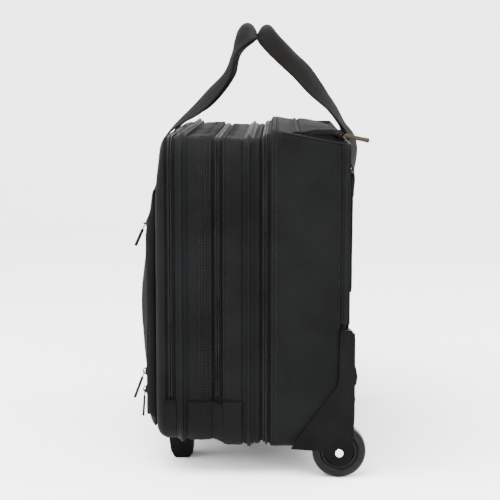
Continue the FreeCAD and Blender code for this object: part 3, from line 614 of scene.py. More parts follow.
def make_stage():
    """A pale floor that curves up into a pale wall."""
    width, front, back, rise, bend = 9.0, 4.0, -3.2, 3.5, 1.2
    line = [(front, 0.0), (back + bend, 0.0)]
    line += [(back + bend - bend * math.sin(a), bend - bend * math.cos(a))
             for a in np.linspace(0.1, math.pi / 2, 14)]
    line.append((back, rise))
    points = [(x, y, z) for x, z in line for y in (-width / 2, width / 2)]
    floor = new_mesh("floor_sweep", points, grid_faces(len(line), 2, False, False))
    material, nodes, links, bsdf = shader("floor_paper")
    place = nodes.new("ShaderNodeTexCoord").outputs["Object"]
    tone = noise(nodes, links, place, 3.0, 2.0)
    links.new(ramp(nodes, links, tone, [(0.3, grey(0.94)), (0.7, grey(0.96))]), bsdf.inputs["Base Color"])
    bsdf.inputs["Roughness"].default_value = 0.9
    floor.data.materials.append(material)


def area_light(name, place, target, size, power):
    light = bpy.data.lights.new(name, "AREA")
    light.shape = "RECTANGLE"
    light.size, light.size_y = size
    light.energy = power
    lamp = bpy.data.objects.new(name, light)
    lamp.location = place
    lamp.rotation_euler = (Vector(target) - Vector(place)).to_track_quat("-Z", "Y").to_euler()
    bpy.context.collection.objects.link(lamp)


def make_lights():
    world = bpy.data.worlds.new("studio")
    world.use_nodes = True
    world.node_tree.nodes["Background"].inputs["Color"].default_value = (1, 1, 1, 1)
    world.node_tree.nodes["Background"].inputs["Strength"].default_value = 3.2
    bpy.context.scene.world = world
    middle = (0, 0, 0.22)
    area_light("top_key", (0.9, -0.5, 1.9), middle, (1.6, 1.2), 120)
    area_light("end_fill", (2.0, 0.9, 0.9), middle, (1.2, 1.2), 34)
    area_light("front_fill", (0.4, -2.0, 0.8), middle, (1.2, 1.0), 26)
    area_light("back_rim", (-0.4, 1.9, 1.1), middle, (1.0, 1.0), 36)


def make_camera():
    """Level with the handle's lower half, looking slightly down on the near end."""
    camera = bpy.data.cameras.new("camera")
    camera.lens = 104.2
    camera.sensor_width = 36
    camera.dof.use_dof = False
    stand = bpy.data.objects.new("camera", camera)
    stand.location = (1.7039, 0.0307, 0.4375)
    down, turn = math.radians(7.35), math.radians(1.12)
    aim = Vector((-math.cos(turn) * math.cos(down), -math.sin(turn) * math.cos(down), -math.sin(down)))
    stand.rotation_euler = aim.to_track_quat("-Z", "Y").to_euler()
    bpy.context.collection.objects.link(stand)
    bpy.context.scene.camera = stand


# ------------------------------------------------------------------ soft sections

MAIN_LINE = (high("main_zip_front_tape")[1] + low("main_zip_rear_tape")[1]) / 2
LAPTOP_LINE = (high("laptop_zip_front_tape")[1] + low("laptop_zip_rear_tape")[1]) / 2
MAIN_STEP = (high("rear_gusset")[2] - high("mid_gusset")[2]) / 2
LAPTOP_STEP = (high("front_gusset")[2] - high("mid_gusset")[2]) / 2
BLEND = 7.5 * MM          # how far from a zip its neighbours' tops start to meet
REAR = Section(HALF, low("rear_gusset")[2], high("rear_gusset")[2],
               slope=(low("rear_gusset")[1], high("rear_gusset")[1], high("back_panel")[2]),
               meets=[(MAIN_LINE, MAIN_LINE + BLEND, -MAIN_STEP)])
MIDDLE = Section(HALF, low("mid_gusset")[2], high("mid_gusset")[2],
                 meets=[(MAIN_LINE, MAIN_LINE - BLEND, MAIN_STEP),
                        (LAPTOP_LINE, LAPTOP_LINE + BLEND, LAPTOP_STEP)])
FRONT = Section(HALF, low("front_gusset")[2], high("front_gusset")[2],
                meets=[(LAPTOP_LINE, LAPTOP_LINE - BLEND, -LAPTOP_STEP)])


def spaced(a, b, step):
    return list(np.linspace(a, b, max(2, int(round(abs(b - a) / step)) + 1)))


def middle_of(node_name, axis):
    return (low(node_name)[axis] + high(node_name)[axis]) / 2


def soft_relief(tag, sag, puff, y0, y1, folds=1.0):
    """Sag on the top, fullness on the ends and shallow folds, fading out at the seams."""
    long_waves = ripple(tag + "_long", 0.13)
    short_waves = ripple(tag + "_short", 0.035)

    def relief(x, y, z, nx, nz, out):
        if out < -2.5 * MM:
            return np.zeros(len(x))
        share = np.clip((y - y0) / (y1 - y0), 0, 1)
        belly = math.sin(math.pi * share) ** 0.6
        round_way = np.where(np.abs(nx) > 0.5, z, x)
        top = np.clip(nz, 0, 1) * np.clip(1 - (np.abs(x) / HALF) ** 4, 0, 1)
        waves = long_waves(round_way, y * 1.5) * 0.6 * MM + short_waves(round_way, y * 0.5) * 0.3 * MM
        return belly * (folds * waves + np.abs(nx) * puff - top * sag)
    return relief


WALL_BACK = -3 * MM       # stand-off of a wall's inner face
DEEPEST = -1.4 * MM       # stand-off at the bottom of a valley


def hem(y, y0, y1):
    """Rolled edge of a wall: proud of the tape, rounded into it."""
    edge = max(0.0, min(y - y0, y1 - y))
    return -1.0 * MM + 1.6 * MM * min(1.0, edge / (1.6 * MM)) ** 0.5


def gusset(name, body, section, y0, y1, valleys, relief):
    """Padded wall of a section, with a valley along each sewn line."""
    depths = set(spaced(y0, y1, 2.6 * MM) + [y0 + 0.5 * MM, y1 - 0.5 * MM])
    for valley, _ in valleys:
        depths |= {valley, valley - 0.9 * MM, valley + 0.9 * MM}
    outer = []
    for y in sorted(depths):
        out = hem(y, y0, y1)
        for valley, deep in valleys:
            out -= deep * math.exp(-((y - valley) / (1.1 * MM)) ** 2)
        outer.append((y, max(out, DEEPEST)))
    inner = [(y, WALL_BACK) for y, _ in reversed(outer)]
    piece = band(name + "_cloth", section, outer + inner, relief)
    finish_piece(piece, body, SHELL, [name])
    return piece


def piping_ring(name, body, section, y, keep=None, stand=1.7 * MM, radius=2.2 * MM):
    """The covered cord that edges a section."""
    circle = [(y + radius * math.cos(a), stand + radius * math.sin(a))
              for a in np.linspace(0, 2 * math.pi, 13)[:-1]]
    wobble = ripple(name, 0.09)

    def relief(x, y_at, z, nx, nz, out):
        return wobble(np.where(np.abs(nx) > 0.5, z, x), 0) * 0.3 * MM
    piece = band(name + "_cord", section, circle, relief, keep)
    finish_piece(piece, body, PIPING, [name])
    flange = 5.2 * MM
    ring = [(y - flange, 0.55 * MM), (y - radius, 1.2 * MM), (y + radius, 1.2 * MM), (y + flange, 0.55 * MM),
            (y + flange, -0.2 * MM), (y - flange, -0.2 * MM)]
    tape = band(name + "_flange", section, ring, relief, keep)
    return finish_piece(tape, body, PIPING)


COIL_PITCH = 1.75 * MM
TAPE_RECESS = -2.6 * MM


def coil_row(name, bead, centre, lean, out, body):
    """One row of a zip's coil."""
    return finish_piece(scatter(name, capsule(*bead), centre, unit(lean), out), body, COIL)


def zip_side(name, body, section, y_edge, y_line, above=None):
    """Half of a zip: a recessed tape with its coil along the meeting line."""
    toward = 1 if y_line > y_edge else -1
    outer = [(y, TAPE_RECESS + 0.5 * MM * abs(y - y_edge) / abs(y_line - y_edge))
             for y in spaced(y_edge, y_line - toward * 0.15 * MM, 1.0 * MM)]
    outer = outer[::toward]
    inner = [(y, TAPE_RECESS - 1.0 * MM) for y, _ in outer[::-1]]
    tape = band(name + "_cloth", section, outer + inner)
    finish_piece(tape, body, TAPE, [name])
    line = y_line - toward * 1.25 * MM
    centre, tangent, normal = resample(section.loop(line), line, COIL_PITCH, TAPE_RECESS + 1.3 * MM)
    if above is not None:
        wanted = centre[:, 2] > above
        centre, tangent, normal = centre[wanted], tangent[wanted], normal[wanted]
    lean = tangent * 0.3 * toward + np.array([0, 1.0, 0])
    coil_row(name + "_coil", (2.5 * MM, 1.2 * MM, 1.5 * MM), centre, lean, normal, body)


def gusset_stitches(name, body, section, piece, depths, wanted, pitch=3.3 * MM):
    """Rows of stitches round a section, sitting on its cloth in small puckers."""
    centres, tangents, normals = [], [], []
    surface = surface_of(piece)
    for y in depths:
        for place, along, out in zip(*resample(section.loop(y), y, pitch, 0)):
            hit = surface.ray_cast(Vector(place + out * 0.02), Vector(-out))[0]
            if hit is not None and wanted(place):
                centres.append(np.array(hit) + out * 0.1 * MM)
                tangents.append(along)
                normals.append(out)
    centres, tangents, normals = np.array(centres), np.array(tangents), np.array(normals)
    puckers = scatter(name + "_puckers", capsule(2.2 * MM, 2.6 * MM, 1.1 * MM, 8),
                      centres - normals * 0.25 * MM, slanted(tangents), normals)
    finish_piece(puckers, body, SHELL)
    stitches = scatter(name, capsule(2.4 * MM, 0.7 * MM, 0.6 * MM), centres + normals * 0.15 * MM,
                       tangents, normals)
    return finish_piece(stitches, body, THREAD)


def slanted(tangents):
    """Turns each direction a little towards +y, as thread pulls the cloth."""
    return unit(tangents + np.array([0, 0.8, 0]))


def above_zip_end(place):
    return place[2] > ZIP_END


def make_middle_section():
    y0, y1 = low("mid_gusset")[1], high("mid_gusset")[1]
    cord = middle_of("mid_piping", 1)
    valleys = [(cord - 6.0 * MM, 1.4 * MM), (cord + 6.0 * MM, 1.2 * MM), (y0 + 3.4 * MM, 0.6 * MM)]
    piece = gusset("mid_gusset", "middle_section", MIDDLE, y0, y1, valleys,
                   soft_relief("mid", 3.0 * MM, 1.3 * MM, y0, y1))
    gusset_stitches("mid_stitches", "middle_section", MIDDLE, piece,
                    [y0 + 2.0 * MM, y0 + 4.6 * MM, y0 + 7.2 * MM], above_zip_end)
    piping_ring("mid_piping", "middle_section", MIDDLE, cord)
    zip_side("main_zip_front_tape", "middle_section", MIDDLE, low("main_zip_front_tape")[1], MAIN_LINE)
    zip_side("main_zip_rear_tape", "rear_case", REAR, high("main_zip_rear_tape")[1], MAIN_LINE)
    base_wrap("mid_base", "middle_section", MIDDLE, y0, cord - 6.0 * MM, piece)


def make_front_section():
    y0, y1 = low("front_gusset")[1], high("front_gusset")[1]
    cord = middle_of("front_piping", 1)
    valleys = [(cord - 5.6 * MM, 1.2 * MM), (cord + 6.0 * MM, 1.4 * MM), (y1 - 3.4 * MM, 0.7 * MM),
               (y1 - 9.0 * MM, 0.5 * MM)]
    piece = gusset("front_gusset", "front_section", FRONT, y0, y1, valleys,
                   soft_relief("front", 4.0 * MM, 1.6 * MM, y0, y1, 1.4))
    gusset_stitches("front_stitches", "front_section", FRONT, piece,
                    [y1 - 2.4 * MM, y1 - 8.0 * MM, y1 - 10.6 * MM, y1 - 13.2 * MM], above_zip_end)
    piping_ring("front_piping", "front_section", FRONT, cord)
    zip_side("laptop_zip_rear_tape", "middle_section", MIDDLE, high("laptop_zip_rear_tape")[1],
             LAPTOP_LINE, ZIP_END)
    zip_side("laptop_zip_front_tape", "front_section", FRONT, low("laptop_zip_front_tape")[1],
             LAPTOP_LINE, ZIP_END)
    base_wrap("front_base", "front_section", FRONT, cord + 5.5 * MM, y1, piece)


def base_wrap(name, body, section, y0, y1, under):
    """Cloth wrapped over the lower part of a section's wall, hemmed where the zips stop."""
    surface = surface_of(under)
    reach = 15 * MM
    loop = section.loop(y0)
    order = from_end_to_end(np.nonzero(loop[1] < ZIP_END)[0], loop)
    waves = ripple(name, 0.035)
    outer = [(y, 1.0 * MM) for y in spaced(y0 + 0.4 * MM, y1 - 0.4 * MM, 2.4 * MM)]

    def relief(x, y, z, nx, nz, out):
        if out < 0:
            return np.zeros(len(x))
        stand = []
        for px, pz, ox, oz in zip(x, z, nx, nz):
            away = Vector((ox, 0, oz))
            place = Vector((px, y, pz))
            hit = surface.ray_cast(place + away * reach, -away)[0]
            stand.append(0.0 if hit is None else (hit - place).dot(away))
        return np.array(stand) + waves(x + z, y) * 0.3 * MM
    inner = [(y, -0.4 * MM) for y, _ in outer[::-1]]
    piece = band(name + "_cloth", section, outer + inner, relief, order)
    finish_piece(piece, body, BASE)
    for extra in base_hem(name, piece, y0 + 0.6 * MM, y1 - 0.6 * MM):
        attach(extra, body)


def base_hem(name, piece, y0, y1):
    """The turned edge along the top of the base cloth, with two rows of stitches under it."""
    made = []
    for side, label in ((-1, "left"), (1, "right")):
        ridge = dense([(side * HALF, y0, ZIP_END), (side * HALF, y1, ZIP_END)], 2 * MM)
        ridge = settle(ridge - [0, 0, 1.2 * MM], piece, (-side, 0, 0), 0.2 * MM)
        hem_cord = tube_along("%s_hem_%s" % (name, label), ridge, 1.4 * MM, 1.1 * MM, (1, 0, 0))
        made.append(finish_piece(hem_cord, None, BASE))
        for row, height in enumerate((ZIP_END - 3.0 * MM, ZIP_END - 7.0 * MM)):
            path = [(side * HALF, y, height) for y in spaced(y0, y1, 3 * MM)]
            made.append(stitch_path("%s_row_%d_%s" % (name, row, label), path, piece, (-side, 0, 0), None,
                                    3.2 * MM, bead=(2.3 * MM, 0.9 * MM, 0.8 * MM), lift=0.3 * MM))
    return made


WELL_SIDE = 176.5 * MM       # the wells lie outside this
WELL_FRONT = 58 * MM
WELL_TOP = 66 * MM
WELL_FOOT = (45 * MM, 33 * MM)   # front foot of the guard's slanted edge, as (y, z)
WELL_SLANT = 1.47
WELL_MARGIN = 7 * MM         # the wall runs this far on behind the slanted edge
HATCH_SIDE = 180.5 * MM
HATCH_FRONT, HATCH_REAR = 55.5 * MM, 94.5 * MM
UPPER = 300 * MM             # only the top wall lies above this


def in_wheel_well(x, y, z):
    """The part of the wall that the guard's plate hides."""
    edge = (z - WELL_FOOT[1]) - (y - WELL_FOOT[0]) * WELL_SLANT
    return (np.abs(x) > WELL_SIDE) & (y > WELL_FRONT) & (z < WELL_TOP) & (edge < -WELL_MARGIN)


def in_hatch(x, y, z):
    return (np.abs(x) < HATCH_SIDE) & (y > HATCH_FRONT) & (y < HATCH_REAR) & (z > UPPER)


def clear_of_guards(place):
    return not (abs(place[0]) > 170 * MM and place[1] > 40 * MM and place[2] < 165 * MM)


def make_rear_walls():
    """Walls of the rear section, left open at the hatch and at both wheel wells."""
    y0, y1 = low("rear_gusset")[1], high("rear_gusset")[1]
    outer = [(y, hem(y, y0, y1)) for y in spaced(y0, y1, 3.0 * MM)]
    inner = [(y, WALL_BACK) for y, _ in outer[::-1]]
    relief = soft_relief("rear", 0.6 * MM, 1.0 * MM, y0, y1, 0.7)
    piece = band("rear_gusset_cloth", REAR, outer + inner, relief)
    remove_faces(piece, lambda x, y, z: in_wheel_well(x, y, z) | in_hatch(x, y, z))
    finish_piece(piece, "rear_case", SHELL, ["rear_gusset"])
    gusset_stitches("rear_stitches", "rear_case", REAR, piece, [y0 + 2.4 * MM, y0 + 7.0 * MM],
                    clear_of_guards)
    gusset_stitches("rear_edge_stitches", "rear_case", REAR, piece, [y1 - 3.0 * MM], clear_of_guards)
    guard_top = high("wheel_guard_right")[2]
    keep = np.nonzero(REAR.loop(y1)[1] > guard_top + 1 * MM)[0]
    piping_ring("rear_piping", "rear_case", REAR, middle_of("rear_piping", 1), keep, 1.2 * MM, 2.3 * MM)
    for side, label in ((-1, "left"), (1, "right")):
        crease(label, side, y0 + 11 * MM, y1 - 1 * MM)


def crease(label, side, y0, y1):
    """The sewn ridge where the end wall meets the sloping top."""
    rows = []
    corner = LINE_STEPS + ARC_STEPS + SIDE_STEPS + ARC_STEPS // 2
    for y in spaced(y0, y1, 4 * MM):
        x, z, nx, nz = REAR.loop(y)
        place = np.array([x[corner], y, z[corner]])
        out = np.array([nx[corner], 0, nz[corner]])
        place[0], out[0] = place[0] * side, out[0] * side
        across = np.array([-out[2], 0, out[0]])
        rows.append([place + out * (1.0 * MM + 1.1 * MM * math.sin(a)) + across * 1.3 * MM * math.cos(a)
                     for a in np.linspace(0, 2 * math.pi, 9)[:-1]])
    faces = tube_faces(len(rows), 8)
    piece = new_mesh("top_seam_" + label, rows, faces if side < 0 else flipped(faces))
    finish_piece(piece, "rear_case", SHELL)


def remove_faces(piece, unwanted):
    """Drops the faces whose middles the test picks out, then closes the cut edges."""
    shape = bmesh.new()
    shape.from_mesh(piece.data)
    middles = np.array([face.calc_center_median() for face in shape.faces])
    mask = unwanted(middles[:, 0], middles[:, 1], middles[:, 2])
    shape.faces.ensure_lookup_table()
    bmesh.ops.delete(shape, geom=[shape.faces[i] for i in np.nonzero(mask)[0]], context="FACES")
    loops = rim_loops(shape)
    while len(loops) > 1:
        first = loops.pop(0)
        centre = rim_centre(first)
        nearest = min(loops, key=lambda loop: (rim_centre(loop) - centre).length)
        loops.remove(nearest)
        bmesh.ops.bridge_loops(shape, edges=first + nearest)
    for face in shape.faces:
        face.smooth = True
    shape.to_mesh(piece.data)
    shape.free()


def rim_centre(edges):
    return sum((edge.verts[0].co for edge in edges), Vector()) / len(edges)


def rim_loops(shape):
    """The open edges of a mesh, grouped into connected rims."""
    unused = {edge for edge in shape.edges if edge.is_boundary}
    loops = []
    for start in [edge for edge in shape.edges if edge.is_boundary]:
        if start not in unused:
            continue
        unused.remove(start)
        loop, border = [start], [start]
        while border:
            for vert in border.pop().verts:
                for other in vert.link_edges:
                    if other in unused:
                        unused.remove(other)
                        loop.append(other)
                        border.append(other)
        loops.append(loop)
    return loops


# ------------------------------------------------------------------ front lid and pocket

POCKET_CORNER = 22 * MM
QUICK_Z = middle_of("quick_zip", 2)


def curve_through(points):
    """Smooth interpolation through (at, value) pairs."""
    at, value = np.array(points).T

    def read(x):
        coarse = np.interp(x, at, value)
        return (coarse * 2 + np.interp(x - 9 * MM, at, value) + np.interp(x + 9 * MM, at, value)) / 4
    return read


# Up the pocket: how far it leans in, then what share of its fullness it has.
POCKET_LEAN = curve_through([(0.040, -8 * MM), (0.055, -4 * MM), (0.070, -1.5 * MM), (0.100, -0.8 * MM),
                             (0.262, -0.6 * MM), (0.276, -4 * MM), (0.298, -8 * MM), (0.315, -9.5 * MM)])
POCKET_BELLY = curve_through([(0.080, 0.0), (0.105, 0.3), (0.130, 0.75), (0.165, 1.0), (0.190, 0.95),
                              (0.225, 0.5), (0.250, 0.1), (0.262, 0.0)])


def pocket_shape(x, z):
    """Leans in at the top and foot, and bellies out between the zips."""
    width = np.clip((0.166 - np.abs(x)) / 0.016, 0, 1)
    width = width * width * (3 - 2 * width)
    waves = ripple("pocket", 0.11)(x, z) * 0.7 * MM + ripple("pocket_fine", 0.04)(x, z * 1.5) * 0.25 * MM
    groove = 1.2 * MM * np.exp(-((z - QUICK_Z) / (5 * MM)) ** 2) * (np.abs(x) < 0.16)
    calm = np.clip(np.abs(np.abs(x) - 0.172) / 0.01, 0, 1)
    return POCKET_LEAN(z) + 7.5 * MM * width * POCKET_BELLY(z) + waves * calm * (z < 0.262) - groove


def lid_shape(x, z):
    waves = ripple("lid", 0.12)(x, z) * 0.5 * MM
    edge = np.clip((HALF - np.abs(x)) / 0.03, 0, 1) * np.clip((z - 0.04) / 0.03, 0, 1)
    lean = 7.5 * MM * np.clip((z - 0.295) / 0.066, 0, 1) ** 1.4
    return 1.0 * MM * edge + waves * edge - lean


def rounded_path(half, bottom, top, radius, y):
    x, z = rounded_loop(half, bottom, top, radius)[:2]
    return np.stack([x, np.full(len(x), y), z], axis=1)


def make_front_panel():
    lo, hi = low("front_panel"), high("front_panel")
    top = high("front_gusset")[2] - 2 * MM
    panel = pillow("front_panel_cloth", (hi[0], lo[2], top, CORNER), hi[1], lo[1], 12 * MM, lid_shape, 26,
                   rise_over=9.5 * MM)
    finish_piece(panel, "organizer_lid", SHELL, ["front_panel"])
    inset = 9 * MM
    edge = rounded_path(hi[0] - inset, lo[2] + inset, top - inset, CORNER - inset, lo[1] - 0.02)
    stitch_path("front_panel_stitches", edge, panel, (0, 1, 0), "organizer_lid", closed=True)
    line = (high("organizer_zip_front_tape")[1] + low("organizer_zip_rear_tape")[1]) / 2
    zip_side("organizer_zip_front_tape", "organizer_lid", FRONT, low("organizer_zip_front_tape")[1],
             line, ZIP_END)
    zip_side("organizer_zip_rear_tape", "front_section", FRONT, high("organizer_zip_rear_tape")[1],
             line, ZIP_END)


def make_front_pocket():
    lo, hi = low("front_pocket"), high("front_pocket")
    pocket = pillow("front_pocket_cloth", (hi[0], lo[2], hi[2], POCKET_CORNER), hi[1], lo[1], 6 * MM,
                    pocket_shape, 30)
    swell(pocket, 5 * MM, 2.5, 2.2 * MM)
    finish_piece(pocket, "organizer_lid", SHELL, ["front_pocket"])
    for name, inset in (("outer", 5.5 * MM), ("inner", 9 * MM)):
        edge = rounded_path(hi[0] - inset, lo[2] + inset, hi[2] - inset, POCKET_CORNER - inset, lo[1] - 0.02)
        stitch_path("front_pocket_stitches_" + name, edge, pocket, (0, 1, 0), "organizer_lid", closed=True)
    surface_zip("quick_zip", 0)
    surface_zip("pocket_zip", 2)


# Across a sewn-on zip: offset from its line and depth behind its face.
SEWN_TAPE = [(-8 * MM, 0.9 * MM), (-7 * MM, -0.2 * MM), (-2.4 * MM, -0.1 * MM), (0, -0.4 * MM),
             (2.4 * MM, -0.1 * MM), (7 * MM, -0.2 * MM), (8 * MM, 0.9 * MM)]


def surface_zip(name, axis):
    """A closed zip sewn on the pocket's face, along x (0) or z (2), with a stitched row each side."""
    body = "organizer_lid"
    run = spaced(low(name)[axis], high(name)[axis], 6 * MM)
    line = np.tile([middle_of(name, i) for i in range(3)], (len(run), 1))
    line[:, axis] = run
    side = np.array([1.0, 0, 0]) if axis == 2 else np.array([0, 0, 1.0])
    front = [line + side * s + np.array([0, depth, 0]) for s, depth in SEWN_TAPE]
    back = [line + side * s + np.array([0, 3.0 * MM, 0]) for s, _ in SEWN_TAPE[::-1]]
    points = np.array(front + back)
    faces = grid_faces(len(points), len(line), True, False)
    faces += [tuple(i * len(line) for i in range(len(points))),
              tuple((i + 1) * len(line) - 1 for i in range(len(points)))[::-1]]
    tape = new_mesh(name + "_tape", points, flipped(faces) if axis == 2 else faces)
    finish_piece(tape, body, TAPE, [name])
    length = np.linalg.norm(line[-1] - line[0])
    way = (line[-1] - line[0]) / length
    count = int(length / COIL_PITCH)
    at = (np.arange(count) + 0.5) * COIL_PITCH
    for shift, label in ((-1, "a"), (1, "b")):
        centre = line[0] + at[:, None] * way + side * 0.85 * MM * shift + np.array([0, -0.75 * MM, 0])
        lean = np.tile(side + way * 0.3 * shift, (count, 1))
        out = np.tile([0, -1.0, 0], (count, 1))
        coil_row("%s_coil_%s" % (name, label), (2.2 * MM, 1.2 * MM, 1.3 * MM), centre, lean, out, body)
        row = line + side * 5.6 * MM * shift
        stitch_path("%s_row_%s" % (name, label), row, tape, (0, 1, 0), body, 2.6 * MM)


# ------------------------------------------------------------------ inside panels and the back


def make_inner_pads():
    for name, body in (("laptop_back_pad", "middle_section"), ("organizer_divider", "front_section")):
        lo, hi = low(name), high(name)

        def quilt(_, z):
            rows = np.abs(np.sin((z - lo[2]) / (hi[2] - lo[2]) * math.pi * 5)) ** 0.5
            return -1.6 * MM + 1.4 * MM * rows
        pad = pillow(name + "_cloth", (hi[0], lo[2], hi[2], 25 * MM), hi[1], lo[1], 2 * MM, quilt, 40)
        finish_piece(pad, body, LINING, [name])


def back_shape(x, z):
    return ripple("back", 0.12)(x, z) * 0.35 * MM - 0.8 * MM


def make_back_panel():
    lo, hi = low("back_panel"), high("back_panel")
    outline = (hi[0], lo[2], hi[2], CORNER, SEWN_CORNER)
    panel = pillow("back_panel_cloth", outline, lo[1], hi[1], 2 * MM, back_shape)
    cut_wheel_wells(panel)
    finish_piece(panel, "rear_case", SHELL, ["back_panel"])


def make_back_pocket():
    """The open sleeve on the back, with its binding, strips and stitches."""
    lo, hi = low("back_pocket"), high("back_pocket")

    def sleeve(x, z):
        share = (z - lo[2]) / (hi[2] - lo[2])
        across = np.clip(1 - (np.abs(x) / hi[0]) ** 2, 0, 1)
        belly = 3.2 * MM * np.sin(math.pi * np.clip(share * 0.75 + 0.1, 0, 1)) * across
        return belly + ripple("sleeve", 0.09)(x, z) * 0.4 * MM
    sleeve_front = hi[1] - 2.6 * MM
    outline = (hi[0], lo[2], hi[2], 8 * MM)
    pocket = pillow("back_pocket_cloth", outline, sleeve_front, hi[1], 1.2 * MM, sleeve, 26)
    finish_piece(pocket, "rear_case", SHELL, ["back_pocket"])
    make_sleeve_edges(lo, hi, sleeve_front)
    back = (0, -1, 0)
    y = hi[1] + 0.02
    side, foot, mouth = hi[0] - 5 * MM, lo[2] + 5 * MM, hi[2] - 3 * MM
    u_shape = [(-side, y, mouth), (-side, y, foot), (side, y, foot), (side, y, mouth)]
    stitch_path("back_pocket_stitches", dense(u_shape), pocket, back, "rear_case")
    for row, drop in enumerate((9 * MM, 12 * MM)):
        level = [(-hi[0] + 3 * MM, y, hi[2] - drop), (hi[0] - 3 * MM, y, hi[2] - drop)]
        stitch_path("back_pocket_hem_%d" % row, dense(level), pocket, back, "rear_case")
    finish_piece(sleeve_binding(hi, sleeve_front), "rear_case", PIPING)


def dense(corners, step=6 * MM):
    """Adds points along straight runs."""
    corners = np.array(corners, float)
    path = [corners[0]]
    for start, end in zip(corners[:-1], corners[1:]):
        count = max(1, int(np.linalg.norm(end - start) / step))
        path += [start + (end - start) * i / count for i in range(1, count + 1)]
    return np.array(path)


def tube_along(name, path, radius_a, radius_b, normal, sides=10):
    """A closed oval tube along a path; normal is the direction of radius_b."""
    path = np.asarray(path, float)
    tangent = unit(np.gradient(path, axis=0))
    normal = square_to(tangent, np.broadcast_to(np.asarray(normal, float), path.shape))
    side = np.cross(tangent, normal)
    radius_a = np.broadcast_to(radius_a, len(path))[:, None]
    radius_b = np.broadcast_to(radius_b, len(path))[:, None]
    columns = [path + side * radius_a * math.cos(angle) + normal * radius_b * math.sin(angle)
               for angle in np.linspace(0, 2 * math.pi, sides + 1)[:-1]]
    return new_mesh(name, np.array(columns).transpose(1, 0, 2), tube_faces(len(path), sides))


def make_kick_ribs():
    """Upright ribs moulded on the plate low on the back, between the skid rails."""
    lo, hi = low("kick_plate"), high("kick_plate")
    for number, x in enumerate(np.linspace(-0.105, 0.105, 7)):
        path = dense([(x, hi[1], lo[2] + 24 * MM), (x, hi[1], hi[2] - 22 * MM)])
        to_end = np.minimum(path[:, 2] - path[0, 2], path[-1, 2] - path[:, 2])
        taper = np.clip(to_end / (8 * MM), 0.25, 1) ** 0.5
        rib = tube_along("kick_plate_rib_%d" % number, path, 2.6 * MM * taper, 1.3 * MM * taper, (0, 1, 0))
        finish_piece(rib, "rear_case", GUARD)


def sleeve_binding(hi, y):
    """Folded binding along the sleeve's mouth."""
    depth = (y + hi[1]) / 2 + 1 * MM
    path = dense([(-hi[0] + 1 * MM, depth, hi[2]), (hi[0] - 1 * MM, depth, hi[2])], 4 * MM)
    bulge = np.clip(1 - (path[:, 0] / hi[0]) ** 2, 0, 1)
    path[:, 1] += 1.6 * MM * bulge
    return tube_along("back_pocket_binding", path, 2.3 * MM, 2.0 * MM, (0, 1, 0))


def make_sleeve_edges(lo, hi, y):
    """Side and foot strips that hold the sleeve off the back."""
    back = high("back_panel")[1]
    middle = (back + y) / 2
    side, foot = hi[0] - 2 * MM, lo[2] + 3 * MM
    for name, start, end in (("left", (-side, foot), (-side, hi[2] - 1 * MM)),
                             ("right", (side, foot), (side, hi[2] - 1 * MM)),
                             ("foot", (-hi[0] + 3 * MM, lo[2] + 2 * MM), (hi[0] - 3 * MM, lo[2] + 2 * MM))):
        path = dense([(start[0], middle, start[1]), (end[0], middle, end[1])])
        strip = tube_along("sleeve_edge_" + name, path, 1.6 * MM, (y - back) / 2 + 0.3 * MM, (0, 1, 0))
        finish_piece(strip, "rear_case", SHELL)


def cut_wheel_wells(panel):
    top = high("wheel_guard_right")[2] - 96 * MM
    remove_faces(panel, lambda x, y, z: (np.abs(x) > WELL_SIDE) & (z < top))


# ------------------------------------------------------------------ hatch flap

FLAP_FRONT = low("hatch_flap")[1]
FLAP_REAR = high("hatch_flap")[1] + 2.5 * MM


def flap_height(x, y):
    """Padded flap over the trolley: a low wedge that falls to the back, level only at its slider end."""
    share = np.clip((y - FLAP_FRONT) / (FLAP_REAR - FLAP_FRONT), 0, 1)
    top = high("hatch_flap")[2]
    slope = top - 1.5 * MM - 9.5 * MM * share ** 1.5
    ends = np.clip((x - 0.150) / 0.03, 0, 1) ** 2 * 7.5 * MM * share
    waves = ripple("flap", 0.10)(x, y * 2) * 0.8 * MM + ripple("flap_fine", 0.035)(x, y) * 0.3 * MM
    return slope + ends + waves


def make_hatch():
    half = high("hatch_flap")[0]
    depth = FLAP_REAR - FLAP_FRONT
    middle = (FLAP_FRONT + FLAP_REAR) / 2
    floor = low("hatch_flap")[2] + 1 * MM
    top = high("hatch_flap")[2]

    def crown(x, z):
        return flap_height(x, z + middle) - top
    flap = pillow("hatch_flap_cloth", (half, -depth / 2, depth / 2, 7 * MM), floor, top, 5 * MM, crown, 18)
    lay_flat(flap, middle)
    slope_underside(flap)
    finish_piece(flap, None, SHELL)
    down = (0, 0, -1)
    seams = []
    for name, inset in (("outer", 5 * MM), ("inner", 8 * MM)):
        corners = [(-half + inset, FLAP_FRONT + 1 * MM), (-half + inset, FLAP_REAR - inset),
                   (half - inset, FLAP_REAR - inset), (half - inset, FLAP_FRONT + 1 * MM)]
        path = dense([(x, y, top + 0.02) for x, y in corners])
        seams.append(stitch_path("hatch_flap_stitches_" + name, path, flap, down, None))
    for piece in [flap] + seams:
        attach(piece, "rear_case")
        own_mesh(piece)
    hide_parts("hatch_flap")
    hatch_rim(half, top)
    front_fold(half)


def lay_flat(piece, middle):
    """Turns a panel built upright so that it faces up."""
    points = np.array([v.co for v in piece.data.vertices])
    turned = np.stack([points[:, 0], points[:, 2] + middle, points[:, 1]], axis=1)
    piece.data.vertices.foreach_set("co", turned.ravel())
    piece.data.flip_normals()
    piece.data.update()


def case_slope(y):
    share = (y - REAR.slope[0]) / (REAR.slope[1] - REAR.slope[0])
    return REAR.top + (REAR.slope[2] - REAR.top) * share


